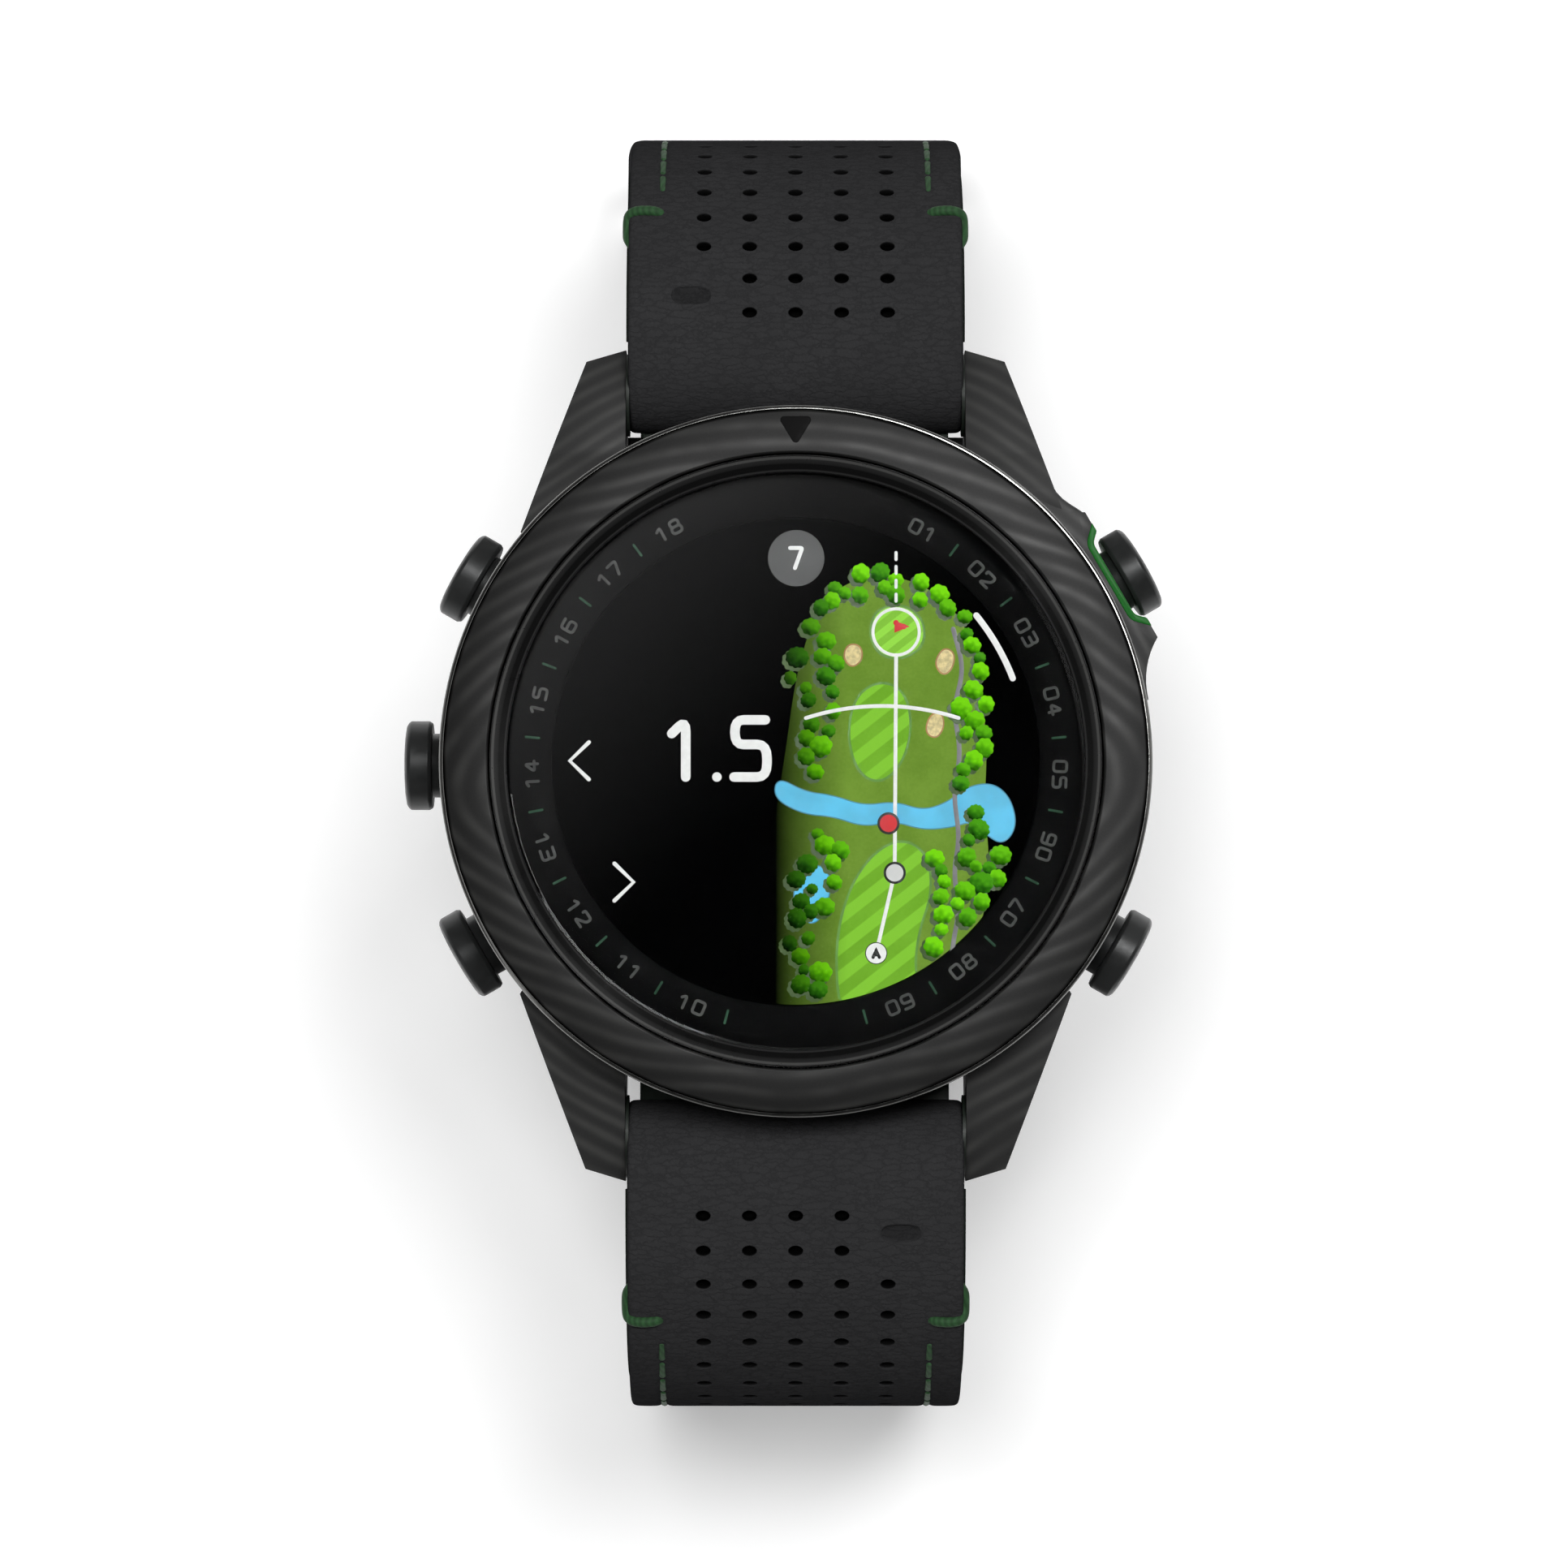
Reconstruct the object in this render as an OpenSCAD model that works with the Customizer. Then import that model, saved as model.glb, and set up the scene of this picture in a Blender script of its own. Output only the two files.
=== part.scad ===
// Golf GPS watch, dial up, standing on the loop of its unbuckled strap.
// +Z leaves the dial, +Y points to twelve o'clock, +X to three o'clock.
// The origin lies on the table under the dial's centre.

/* [Case] */
// Height of the bezel's top over the table
top_z = 50; // [48:0.5:56]
// Thickness of the case's wall round the works
case_wall = 3.6; // [3.4:0.1:4.2]
// Depth from the bezel's top to the case's upper face
case_top = 3.6; // [3.5:0.1:4]
// Depth from the bezel's top to the case's lower face
case_bottom = 13.2; // [13:0.1:15]
// Thickness of the wall behind the flats that face the strap
flat_wall = 1.6; // [1.2:0.1:1.8]

/* [Lugs] */
// Gap between the strap's edge and a lug
lug_side_gap = 0.15; // [0.1:0.05:0.3]
// Length of a lug past its bar
lug_nose = 2.9; // [2.4:0.1:3.4]
// Width of a lug at its tip
lug_w = 2.6; // [2.2:0.1:3.2]
// How far a lug's root stands out of the case
lug_root_out = 0.75; // [0.4:0.05:1]
// Radius of the lugs' sloping top, seen from the side
lug_crown_r = 30; // [24:1:40]

/* [Bezel] */
// How far the bezel overhangs the case
bezel_lip = 0.4; // [0.2:0.1:0.8]
// Depth of the bezel's lower face
bezel_bottom = 3.3; // [3:0.1:3.4]
// Wall of the neck that the bezel turns on
neck_wall = 0.92; // [0.8:0.02:1.1]
// Running clearance between neck and bezel
bezel_fit = 0.08; // [0.05:0.01:0.1]
// Width of the bright outer rim
rim_w = 0.2; // [0.15:0.05:0.4]
// Width of the dark groove beside the rim
rim_groove = 0.12; // [0.08:0.02:0.3]
// Thickness of the layered inlay at its inner edge
inlay_t = 1.1; // [0.8:0.1:1.4]
// How far the bezel's upper face falls from its inner edge to its rim
bezel_fall = 0.36; // [0.2:0.04:0.48]
// Number of click notches under the bezel
click_count = 36; // [12:12:72]

/* [Lens and display] */
// How far the lens reaches past the display panel
lens_lap = 1.24; // [1.1:0.02:1.4]
// Thickness of the lens
lens_t = 1.5; // [1:0.1:1.8]
// Depth of the lens's upper face
lens_top = 0.75; // [0.5:0.05:1]
// How far the printed ring covers the edge of the display panel
ring_lap = 1.6; // [1:0.1:2.4]
// Radius of the display panel
panel_r = 17.4; // [17:0.1:17.6]
// Thickness of the display panel
panel_t = 1.4; // [1:0.1:1.6]

/* [Buttons] */
// Diameter of a button's head
head_d = 5.85; // [5:0.05:6.2]
// Thickness of a button's head
head_t = 2.0; // [1.6:0.1:2.4]
// Diameter of the neck behind the head
button_neck_d = 4.2; // [3.8:0.1:4.4]
// Gap between the head and the bezel's edge, seen from above
head_gap = 0.65; // [0.6:0.05:0.9]
// Travel of a button
button_travel = 0.5; // [0.3:0.05:0.5]
// Depth of the buttons' axes
button_depth = 8.3; // [8:0.1:8.8]
// How much further out the guarded button stands
guard_offset = 0.8; // [0.5:0.1:1]
// Thickness of the guard liner
guard_t = 0.45; // [0.3:0.05:0.6]

/* [Strap] */
// Width of the strap's leather
strap_w = 21.9; // [20:0.1:22]
// Thickness of the leather
leather_t = 1.6; // [1.2:0.1:2]
// Thickness of the lining
lining_t = 1.2; // [0.8:0.1:1.6]
// How far the lining stands out beside the leather
lining_ledge = 0.15; // [0.05:0.05:0.2]
// Distance from a lug bar out to the strap's crest
crest_out = 3.9; // [3.4:0.1:4.6]
// Depth of the strap's crest under the bezel's top
crest_depth = 4.0; // [3.9:0.1:4.5]
// Radius of the strap's shoulder
shoulder_r = 14.3; // [13:0.1:16]
// Radius of the strap's lower corner
corner_r = 18; // [16:0.5:19]
// Gap between the case's flat and the start of the leather
strap_start_gap = 1.3; // [1:0.1:1.6]
// Radius at which the leather rolls down towards the case
roll_r = 4.5; // [4.4:0.1:5]
// Gap between the tail's end and the buckle
tail_gap = 2; // [1:0.1:4]

/* [Perforation and stitching] */
// Diameter of a perforation
perf_d = 1.0; // [0.7:0.05:1.2]
// Distance between columns of perforations
perf_col = 3.0; // [2.6:0.1:3.2]
// Distance between rows of perforations
perf_row = 2.32; // [2.1:0.02:2.6]
// Distance along the strap from its crest to the first row
perf_start = 1.2; // [1:0.1:1.6]
// Number of rows
perf_rows = 14; // [8:1:16]
// Distance of a stitch line from the strap's middle
stitch_x = 8.75; // [8:0.05:9]
// Distance between two stitches
stitch_pitch = 1.7; // [1.5:0.05:2.2]
// Length of a stitch
stitch_l = 1.25; // [1:0.05:1.4]
// Diameter of the thread
thread_d = 0.5; // [0.4:0.05:0.55]
// Distance along the strap from its crest to the bar stitch
bar_stitch_at = 8.6; // [8:0.1:9.5]

/* [Bars and buckle] */
// Distance from the case's flat out to a lug bar
bar_out = 3.7; // [3.5:0.1:4.2]
// Depth of a lug bar under the bezel's top
bar_depth = 7.6; // [7.4:0.1:8]
// Diameter of a lug bar
bar_d = 1.6; // [1.4:0.1:1.8]
// Running clearance round bars and stems
pin_fit = 0.05; // [0.03:0.01:0.08]
// Diameter of the buckle's bar
buckle_bar_d = 1.4; // [1.2:0.1:1.5]
// Length of flat strap before the buckle's bar
buckle_lead = 0.9; // [0.5:0.1:2]
// Length from the buckle's bar to its front edge
buckle_l = 14; // [12:0.5:14.5]
// Width of the buckle's side arms
buckle_arm = 2.0; // [1.6:0.1:2.4]
// Thickness of the buckle's frame
buckle_t = 2.3; // [2:0.1:2.4]

/* [Hidden] */
$fn = 96;

// Overshoot of a cut past the face that it goes through
cut = 0.5;
// Small gap between pieces that lie side by side in one body
seat = 0.05;

// Places of the buttons round the case, counted from three o'clock
LIGHT = 150;
UP = 180;
DOWN = 210;
START = 30;
BACK = -30;

// Radii from the display outwards
frame_wall = 0.8;
antenna_w = 0.6;
ledge_gap = 0.5;
lens_r = panel_r + lens_lap;
ring_inner_r = panel_r - ring_lap;
frame_r = panel_r + frame_wall;
cavity_r = frame_r + antenna_w + 4 * seat;
case_r = cavity_r + case_wall;
bezel_r = case_r + bezel_lip;
flat_y = cavity_r + flat_wall;

// Places from the case's flats out to the strap
lug_gap = strap_w + 2 * lug_side_gap;
lug_tip_x = lug_gap / 2 + lug_w;
lug_root_angle = 40;
lug_root_x = (case_r + lug_root_out) * cos(lug_root_angle);
lug_root_y = (case_r + lug_root_out) * sin(lug_root_angle);
bar_y = flat_y + bar_out;
lug_tip_y = bar_y + lug_nose;
crest_y = bar_y + crest_out;
strap_start_y = flat_y + strap_start_gap;

// Depths down the stack of lens, printed ring and display
lens_bottom = lens_top + lens_t;
ring_t = 0.4;
ring_bottom = lens_bottom + ring_t;
panel_bottom = ring_bottom + panel_t;
ledge_r = panel_r + ledge_gap;
gasket_w = 0.2;
lens_ring_t = 0.85;

// Inner frame, board and what stands on it
frame_t = 1.0;
frame_bottom = panel_bottom + frame_t;
board_gap = 2;
board_r = cavity_r - board_gap;
board_edge = 0.9;
board_t = 0.8;
board_top = button_depth + 1.3;
board_bottom = board_top + board_t;
battery_size = [board_r - 3.6, 20, 3.4];
battery_x = -sqrt(pow(board_r - board_edge, 2) - pow(battery_size[1] / 2, 2));
can_size = [board_r - 7, 2 * (board_r - 9), 1.8];
can_x = 3.4;
motor_r = 3.5;
motor_t = 2.6;
motor_place = [5.2, motor_r + 1.5 - board_r];
post_angles = [110, 57, -110, -44];
post_d = 2;
posts = [for (a = post_angles) (board_r - post_d) * [cos(a), sin(a)]];
peg_d = 1;
flex_w = 7;
flex_t = 0.2;
flex_gap = 0.5;

// Rear cover and what it carries
ledge_depth = case_bottom - 1.2;
cover_rim = 0.8;
cover_r = case_r - cover_rim;
cover_fit = 0.1;
cover_drop = 1.5;
dome_r = cavity_r - 1.5;
rear_gasket_r = cavity_r + 0.3;
rear_gasket_w = 0.6;
rear_gasket_t = 0.5;
screw_head_d = 1.5;
screw_circle = cover_r - screw_head_d / 2 - 0.1;
screw_head_t = 0.7;
screw_d = 0.9;
screw_l = 3.2;
window_r = 6.4;
window_fit = 0.05;
window_rise = 0.5;
port_y = -12.5;
port_size = [8, 3];
contact_d = 1.0;
contact_pitch = 1.8;

// Buttons, measured along their axes from the dial's centre
head_in = bezel_r + head_gap;
bore_fit = 0.08;
bore_floor = cavity_r + 1.7;
spring_room = 1.3;
button_neck_in = bore_floor + spring_room;
stem_d = 1.6;
clip_t = 0.4;
clip_r = 1.5;
clip_out = sqrt(cavity_r * cavity_r - clip_r * clip_r) - 0.06;
stem_in = clip_out - clip_t - 0.25;
dome_rise = 0.25;
spring_wire = 0.28;
spring_turns = 2;
seal_d = 0.5;
switch_size = [2.6, 3, 1.1];

// Places on the strap's side view
arc_z = top_z - crest_depth - shoulder_r;
strap_y = crest_y + shoulder_r;
corner_y = strap_y - corner_r;
strap_t = leather_t + lining_t;
shoulder_l = shoulder_r * PI / 2;
side_l = arc_z - corner_r;
corner_l = corner_r * PI / 2;
bar_z = top_z - bar_depth;
buckle_y = corner_y - buckle_lead;
tail_end_y = buckle_y - buckle_l - tail_gap;
tail_l = shoulder_l + side_l + corner_l + corner_y + tail_end_y;
buckle_strap_l = shoulder_l + side_l + corner_l + corner_y - buckle_y;
buckle_z = strap_t / 2;
skive_t = 0.7;
roll_y = strap_start_y + roll_r;
roll_turn = asin((crest_y - roll_y) / (shoulder_r - roll_r));
roll_z = arc_z + (shoulder_r - roll_r) * cos(roll_turn);
block_inset = 0.1;
block_gap = 0.4;
block_nose = 0.4;
block_drop = 2.2;
block_heel = 1.3;
block_w = strap_w - 2 * block_inset;
block_in_y = flat_y + block_gap;
block_out_y = lug_tip_y + block_nose;
latch_size = [7, 3, 0.7];
groove_w = thread_d + 0.12;
groove_d = thread_d + 0.02;
stitch_lead = 1.75;
stitch_start = bar_stitch_at + stitch_lead;
bar_stitch_l = 2.15;
keeper_wall = 0.9;
keeper_fit = 0.25;
keeper_lift = 0.4;
keeper_w = 4.4;
keeper_gap = 0.95;
keeper_round = 1.6;
keeper_span = keeper_w / corner_r * 180 / PI;
keeper_out = corner_r + strap_t + 2 * keeper_fit;
keeper_in = corner_r - strap_t - keeper_fit;
fixed_keeper_at = acos((corner_r - keeper_lift) / (keeper_out + keeper_wall)) + keeper_span / 2;
sliding_keeper_at = fixed_keeper_at + 2 * asin((keeper_w + keeper_gap) / 2 / (keeper_in - keeper_wall));
tail_hole_d = 2.0;
tail_hole_pitch = 6;
tail_hole_count = 5;
tail_hole_first = -3;

// A point on the strap's outer face, at length s from the crest: y, z and the tilt of the face
function strap_at(s) =
  s < shoulder_l
    ? let (a = s / shoulder_r * 180 / PI)
      [crest_y + shoulder_r * sin(a), arc_z + shoulder_r * cos(a), a]
    : s < shoulder_l + side_l
      ? [strap_y, arc_z - (s - shoulder_l), 90]
      : s < shoulder_l + side_l + corner_l
        ? let (a = (s - shoulder_l - side_l) / corner_r * 180 / PI)
          [corner_y + corner_r * cos(a), corner_r - corner_r * sin(a), 90 + a]
        : [corner_y - (s - shoulder_l - side_l - corner_l), 0, 180];

// Extrude a side view, drawn as (y, z), along X about the middle
module along_x(w) {
  rotate([90, 0, 90])
    linear_extrude(w, center = true)
      children();
}

// A ring round the dial's axis between two depths
module ring(r_out, r_in, upper, lower) {
  translate([0, 0, top_z - lower])
    difference() {
      cylinder(r = r_out, h = lower - upper);
      translate([0, 0, -cut])
        cylinder(r = r_in, h = lower - upper + 2 * cut);
    }
}

// A disc round the dial's axis between two depths
module disc(r, upper, lower) {
  translate([0, 0, top_z - lower])
    cylinder(r = r, h = lower - upper);
}

// Put a shape drawn along +Z on a button's axis, pointing outwards
module on_button(angle) {
  rotate([0, 0, angle])
    translate([0, 0, top_z - button_depth])
      rotate([0, 90, 0])
        children();
}

// Put a shape on the strap's outer face: +Z leaves the face, +Y runs down the strap
module on_strap(s, x = 0) {
  p = strap_at(s);
  translate([x, p[0], p[1]])
    rotate([-p[2], 0, 0])
      children();
}

// Case

pocket_r = lens_r + gasket_w;
lens_ring_top = 0.1;
neck_r = pocket_r + neck_wall;
neck_top = lens_ring_top + lens_ring_t;
ledge_bottom = ring_bottom + 0.55;
cover_flat = flat_y - 0.6;
wire_d = 0.5;
wire_depth = 2.4;
wire_fit = 0.04;
lug_foot = 2.4;
lug_toe = 1.4;
lug_belly = 3;
lug_shoulder_y = flat_y - 6.6;
lug_slant = 0.8;
guard_floor = bezel_r + 0.45;
guard_half = 2.85;
guard_tip = bezel_r + 1.45;
guard_horn = 0.85;
guard_root = [case_r - 0.7, 7.9];
guard_low = 12;
guard_sag = 0.4;
guard_fillet = 0.6;
gap_fillet = 0.2;
screw_socket_d = 0.9;
lug_bar_half = lug_gap / 2 + 1.3;
lug_screw_head_d = 2.2;
lug_screw_neck = 0.6;
lug_screw_head_t = 0.85;

// Plan of the pocket round the guarded button, in its own direction, drawn in by inset
module guard_plan(inset) {
  floor_x = guard_floor + inset;
  mouth_x = guard_tip + 1;
  floor_half = guard_half - inset * (sqrt(2) - 1);
  mouth_half = floor_half + mouth_x - floor_x;
  fillet = guard_fillet + guard_t - inset;
  before = floor_half - fillet * (sqrt(2) - 1);
  past = fillet * (1 - sqrt(0.5));
  polygon([
    [floor_x, -before], [floor_x + past, -floor_half - past], [mouth_x, -mouth_half],
    [mouth_x, mouth_half], [floor_x + past, floor_half + past], [floor_x, before]
  ]);
  for (side = [1, -1])
    translate([floor_x + fillet, side * before])
      circle(r = fillet);
}

// Plan of the gap between two lugs, with its inner corners rounded
module gap_plan() {
  half = lug_gap / 2;
  far = flat_y + lug_tip_y;
  polygon([
    [gap_fillet - half, flat_y], [half - gap_fillet, flat_y], [half, flat_y + gap_fillet],
    [half, far], [-half, far], [-half, flat_y + gap_fillet]
  ]);
  for (side = [1, -1])
    translate([side * (half - gap_fillet), flat_y + gap_fillet])
      circle(r = gap_fillet);
}

// Shoulder that carries the guard, with a hollow flank on each side
module guard_shoulder() {
  horn_half = guard_half + guard_tip - guard_floor + guard_horn;
  chord = [guard_tip - guard_root[0], horn_half - guard_root[1]];
  chord_l = norm(chord);
  flank_r = (chord_l * chord_l / 4 + guard_sag * guard_sag) / (2 * guard_sag);
  flank = [guard_tip + guard_root[0], horn_half + guard_root[1]] / 2
    + [-chord[1], chord[0]] / chord_l * (flank_r - guard_sag);
  rotate([0, 0, START])
    translate([0, 0, top_z - guard_low])
      linear_extrude(guard_low - case_top)
        difference() {
          polygon([
            [cavity_r + 0.6, -guard_root[1]], guard_root - [0, 2 * guard_root[1]], [guard_tip, -horn_half],
            [guard_tip, horn_half], guard_root, [cavity_r + 0.6, guard_root[1]]
          ]);
          for (side = [1, -1])
            translate([flank[0], side * flank[1]])
              circle(r = flank_r);
          guard_plan(0);
        }
}

// One lug's plan, at the right of twelve o'clock
module lug_plan() {
  polygon([
    [lug_gap / 2, lug_shoulder_y - 2], [lug_gap / 2, lug_tip_y], [lug_tip_x, lug_tip_y - lug_slant],
    [lug_root_x, lug_root_y], [lug_root_x - 2, lug_shoulder_y - 2]
  ]);
}

// Side view of the lugs on the twelve o'clock side
module lug_side() {
  intersection() {
    translate([lug_shoulder_y, top_z - case_top - lug_crown_r])
      circle(r = lug_crown_r, $fn = 200);
    polygon([
      [0, top_z], [lug_tip_y, top_z], [lug_tip_y, bar_z - lug_foot + 1],
      [lug_tip_y - lug_toe, bar_z - lug_foot], [flat_y - lug_belly, top_z - case_bottom], [0, top_z - case_bottom]
    ]);
  }
}

module lugs() {
  for (turn = [0, 180])
    rotate([0, 0, turn])
      intersection() {
        along_x(3 * lug_tip_x)
          lug_side();
        translate([0, 0, top_z - case_bottom])
          linear_extrude(case_bottom)
            for (side = [0, 1])
              mirror([side, 0])
                lug_plan();
      }
}

// Bore for a button's neck, stem and seal
module button_bore(angle) {
  on_button(angle) {
    translate([0, 0, bore_floor])
      cylinder(d = button_neck_d + 2 * bore_fit, h = bezel_r);
    translate([0, 0, cavity_r - 1])
      cylinder(d = stem_d + 2 * pin_fit, h = bore_floor);
    translate([0, 0, seal_at - seal_d / 2 - seat])
      cylinder(d = stem_d + 2 * pin_fit + 2 * seal_d, h = seal_d + 2 * seat);
  }
}

seal_at = (cavity_r + bore_floor) / 2;

module each_lug_bar() {
  for (turn = [0, 180])
    rotate([0, 0, turn])
      translate([0, bar_y, bar_z])
        rotate([0, 90, 0])
          children();
}

// The screws' places in the rear cover, on the diagonals
module each_rear_screw() {
  for (angle = [45 : 90 : 315])
    rotate([0, 0, angle])
      translate([screw_circle, 0, top_z - case_bottom])
        children();
}

module mid_case() {
  color("#2b2b2c")
    difference() {
      union() {
        disc(case_r, case_top, case_bottom);
        lugs();
        guard_shoulder();
        disc(neck_r, neck_top, case_top + 1);
      }
      for (side = [0, 180])
        rotate([0, 0, side])
          translate([0, 0, top_z - case_bottom - cut])
            linear_extrude(case_bottom - case_top + cut + 0.001)
              gap_plan();
      disc(pocket_r, 0, ring_bottom);
      disc(ledge_r, 0, ledge_bottom + cut);
      disc(cavity_r, ledge_bottom, case_bottom);
      rear_recess();
      ring(rear_gasket_r + rear_gasket_w, rear_gasket_r, ledge_depth - rear_gasket_t, ledge_depth + cut);
      wire_groove();
      click_room();
      for (angle = [LIGHT, UP, DOWN, START, BACK])
        button_bore(angle);
      each_lug_bar() {
        cylinder(d = bar_d + 2 * seat, h = 4 * lug_tip_x, center = true);
        lug_screw_room();
      }
      each_rear_screw()
        cylinder(d = screw_d + 2 * seat, h = screw_l + cut);
    }
}

// Room for the screws' heads at both ends of a lug bar
module lug_screw_room() {
  for (side = [0, 1])
    mirror([0, 0, side])
      translate([0, 0, lug_bar_half + lug_screw_neck])
        cylinder(d = lug_screw_head_d + 2 * seat, h = lug_tip_x);
}

// Recess for the rear cover, round with two flats
module rear_recess() {
  intersection() {
    disc(cover_r + cover_fit, ledge_depth, case_bottom + cut);
    translate([0, 0, top_z - case_bottom])
      cube([3 * cover_r, 2 * (cover_flat + cover_fit), 3 * cover_drop], center = true);
  }
}

// Half of the wire lies in the neck and half in the bezel
module wire_groove() {
  ring(neck_r + cut, neck_r - wire_d / 2 - seat, wire_depth - wire_d / 2 - seat, wire_depth + wire_d / 2 + seat);
}

click_span = 34;
click_nib_span = 2;
click_r = (neck_r + case_r) / 2 + 0.12;
click_w = 1.0;
click_t = 0.15;
click_room_t = 0.55;
click_notch_w = 1.0;
click_nib_h = 0.15;
click_notch = 0.3;

// A flat arc piece round the dial's axis
module arc_piece(r, w, span, upper, lower) {
  rotate([0, 0, -span / 2])
    translate([0, 0, top_z - lower])
      rotate_extrude(angle = span)
        translate([r - w / 2, 0])
          square([w, lower - upper]);
}

// Room in the case's upper face for the click spring
module click_room() {
  arc_piece(click_r, click_w + 4 * seat, click_span + 2, case_top - cut, case_top + click_room_t);
}

module bezel_click_spring() {
  leaf_top = case_top + click_room_t - click_t;
  color("#b8b8b4") {
    arc_piece(click_r, click_w, click_span, leaf_top, leaf_top + click_t);
    arc_piece(click_r, click_w, click_nib_span, bezel_bottom - click_nib_h, leaf_top);
  }
}

module button_guard() {
  color("#2f6a35")
    difference() {
      rotate([0, 0, START])
        translate([0, 0, top_z - guard_low])
          linear_extrude(guard_low - case_top)
            intersection() {
              difference() {
                guard_plan(0);
                guard_plan(guard_t);
              }
              translate([0, -bezel_r / 2])
                square([guard_tip + 0.05, bezel_r]);
            }
      on_button(START)
        cylinder(d = button_neck_d + 2 * bore_fit, h = 2 * bezel_r);
    }
}

// Bezel

bezel_in = neck_r + bezel_fit;
inlay_out = bezel_r - rim_w - rim_groove;
bezel_slope = atan(bezel_fall / (inlay_out - bezel_in));
rim_chamfer = 0.12;
rim_top = bezel_fall - 0.04;
pip_w = 2.0;
pip_h = 1.7;
pip_r = (bezel_in + inlay_out) / 2 + 0.1;
pip_t = 0.3;
pip_round = 0.25;

module bezel_ring() {
  color("#8a8a88")
    difference() {
      translate([0, 0, top_z])
        rotate_extrude()
          polygon([
            [bezel_in, -bezel_bottom], [bezel_r - 0.4, -bezel_bottom], [bezel_r, -bezel_bottom + 0.4],
            [bezel_r, -rim_top - rim_chamfer], [bezel_r - rim_chamfer, -rim_top], [bezel_r - rim_w, -rim_top],
            [bezel_r - rim_w, -inlay_t], [bezel_in, -inlay_t]
          ]);
      ring(neck_r + wire_d / 2 + 2 * wire_fit, bezel_in - cut, wire_depth - wire_d, wire_depth + wire_d);
      for (i = [0 : click_count - 1])
        rotate([0, 0, i * 360 / click_count])
          translate([click_r - click_w, -click_notch_w / 2, top_z - bezel_bottom - cut])
            cube([2 * click_w, click_notch_w, cut + click_notch]);
    }
}

// The pointer on the sloping inlay, its tip towards the dial; upper and lower are its depths in the inlay
module pip(extra, upper, lower) {
  translate([0, pip_r, top_z - (pip_r - bezel_in) * tan(bezel_slope)])
    rotate([-bezel_slope, 0, 0])
      translate([0, 0, -lower])
        linear_extrude(lower - upper)
          hull()
            for (p = [[-pip_w / 2, pip_h / 2], [pip_w / 2, pip_h / 2], [0, -pip_h / 2]])
              translate(p * (1 - 2 * pip_round / pip_w))
                circle(r = pip_round + extra, $fn = 24);
}

module bezel_inlay() {
  color("#303030")
    difference() {
      translate([0, 0, top_z])
        rotate_extrude()
          polygon([
            [bezel_in, -inlay_t], [inlay_out, -inlay_t], [inlay_out, -bezel_fall - 0.12],
            [inlay_out - 0.12, -bezel_fall], [bezel_in + 0.12, 0], [bezel_in, -0.12]
          ]);
      pip(seat, -0.2, pip_t);
    }
}

module bezel_pip() {
  color("#0c0c0c")
    pip(0, -0.02, pip_t);
}

module bezel_wire() {
  color("#a0a0a0")
    rotate([0, 0, 100])
      translate([0, 0, top_z - wire_depth])
        rotate_extrude(angle = 340)
          translate([neck_r, 0])
            circle(d = wire_d - 2 * wire_fit, $fn = 24);
}

// Lens, printed ring and display

// Ring with a polished bevel and a dark slope down to the lens
module lens_ring() {
  bevel_r = neck_r - 0.46;
  inner_r = lens_r + 0.03;
  color("#3a3a3a")
    translate([0, 0, top_z])
      rotate_extrude()
        polygon([
          [inner_r, -neck_top], [neck_r, -neck_top], [neck_r, -lens_ring_top - 0.06],
          [neck_r - 0.06, -lens_ring_top], [bevel_r, -lens_ring_top - 0.3], [inner_r, -lens_top]
        ]);
}

module lens() {
  lens_edge = 0.15;
  color([0.05, 0.05, 0.05, 0.4])
    translate([0, 0, top_z])
      rotate_extrude()
        polygon([
          [0, -lens_bottom], [lens_r, -lens_bottom], [lens_r, -lens_top - lens_edge],
          [lens_r - lens_edge, -lens_top], [0, -lens_top]
        ]);
}

module lens_gasket() {
  color("#101010")
    ring(pocket_r, lens_r, neck_top, lens_bottom);
}

module dial_ring() {
  color("#1c1c1c")
    ring(pocket_r - seat, ring_inner_r, lens_bottom, ring_bottom);
}

module display_panel() {
  color("#050505")
    disc(panel_r, ring_bottom, panel_bottom);
}

// Ribbon from the display's edge down to the board, through the frame's notch
module display_flex() {
  side_y = panel_r + seat;
  color("#a8641e")
    translate([-flex_w / 2, 0, top_z]) {
      translate([0, -side_y - flex_t, -board_top])
        cube([flex_w, flex_t, board_top - panel_bottom + 0.6]);
      translate([0, -side_y - flex_t, -board_top])
        cube([flex_w, side_y + flex_t - board_r + 2, flex_t]);
    }
}

// Works inside the case

// Frame that carries the display, with a notch for the ribbon and a window for the battery
module inner_frame() {
  color("#3c3c3e")
    difference() {
      union() {
        disc(frame_r, panel_bottom, frame_bottom);
        ring(frame_r, panel_r + 2 * seat, panel_bottom - 0.7, panel_bottom + cut);
        each_post(board_top)
          cylinder(d = post_d, h = board_top - panel_bottom);
        each_post(board_bottom)
          cylinder(d = peg_d, h = board_bottom - panel_bottom);
      }
      translate([-flex_w / 2 - flex_gap, -2 * frame_r, top_z - frame_bottom - cut])
        cube([flex_w + 2 * flex_gap, 2 * frame_r - panel_r + flex_gap, frame_bottom]);
      translate([can_x, -can_size[1] / 2, top_z - frame_bottom - cut])
        cube([can_size[0], can_size[1], frame_t + 2 * cut]);
      for (x = [battery_x + 2, battery_x + battery_size[0] - 2])
        translate([x, 0, top_z - frame_bottom - cut])
          cylinder(r = 1.2, h = frame_t + 2 * cut);
    }
}

// The frame's posts, which stand on the board, at a depth
module each_post(depth) {
  for (p = posts)
    translate([p[0], p[1], top_z - depth])
      children();
}

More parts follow.
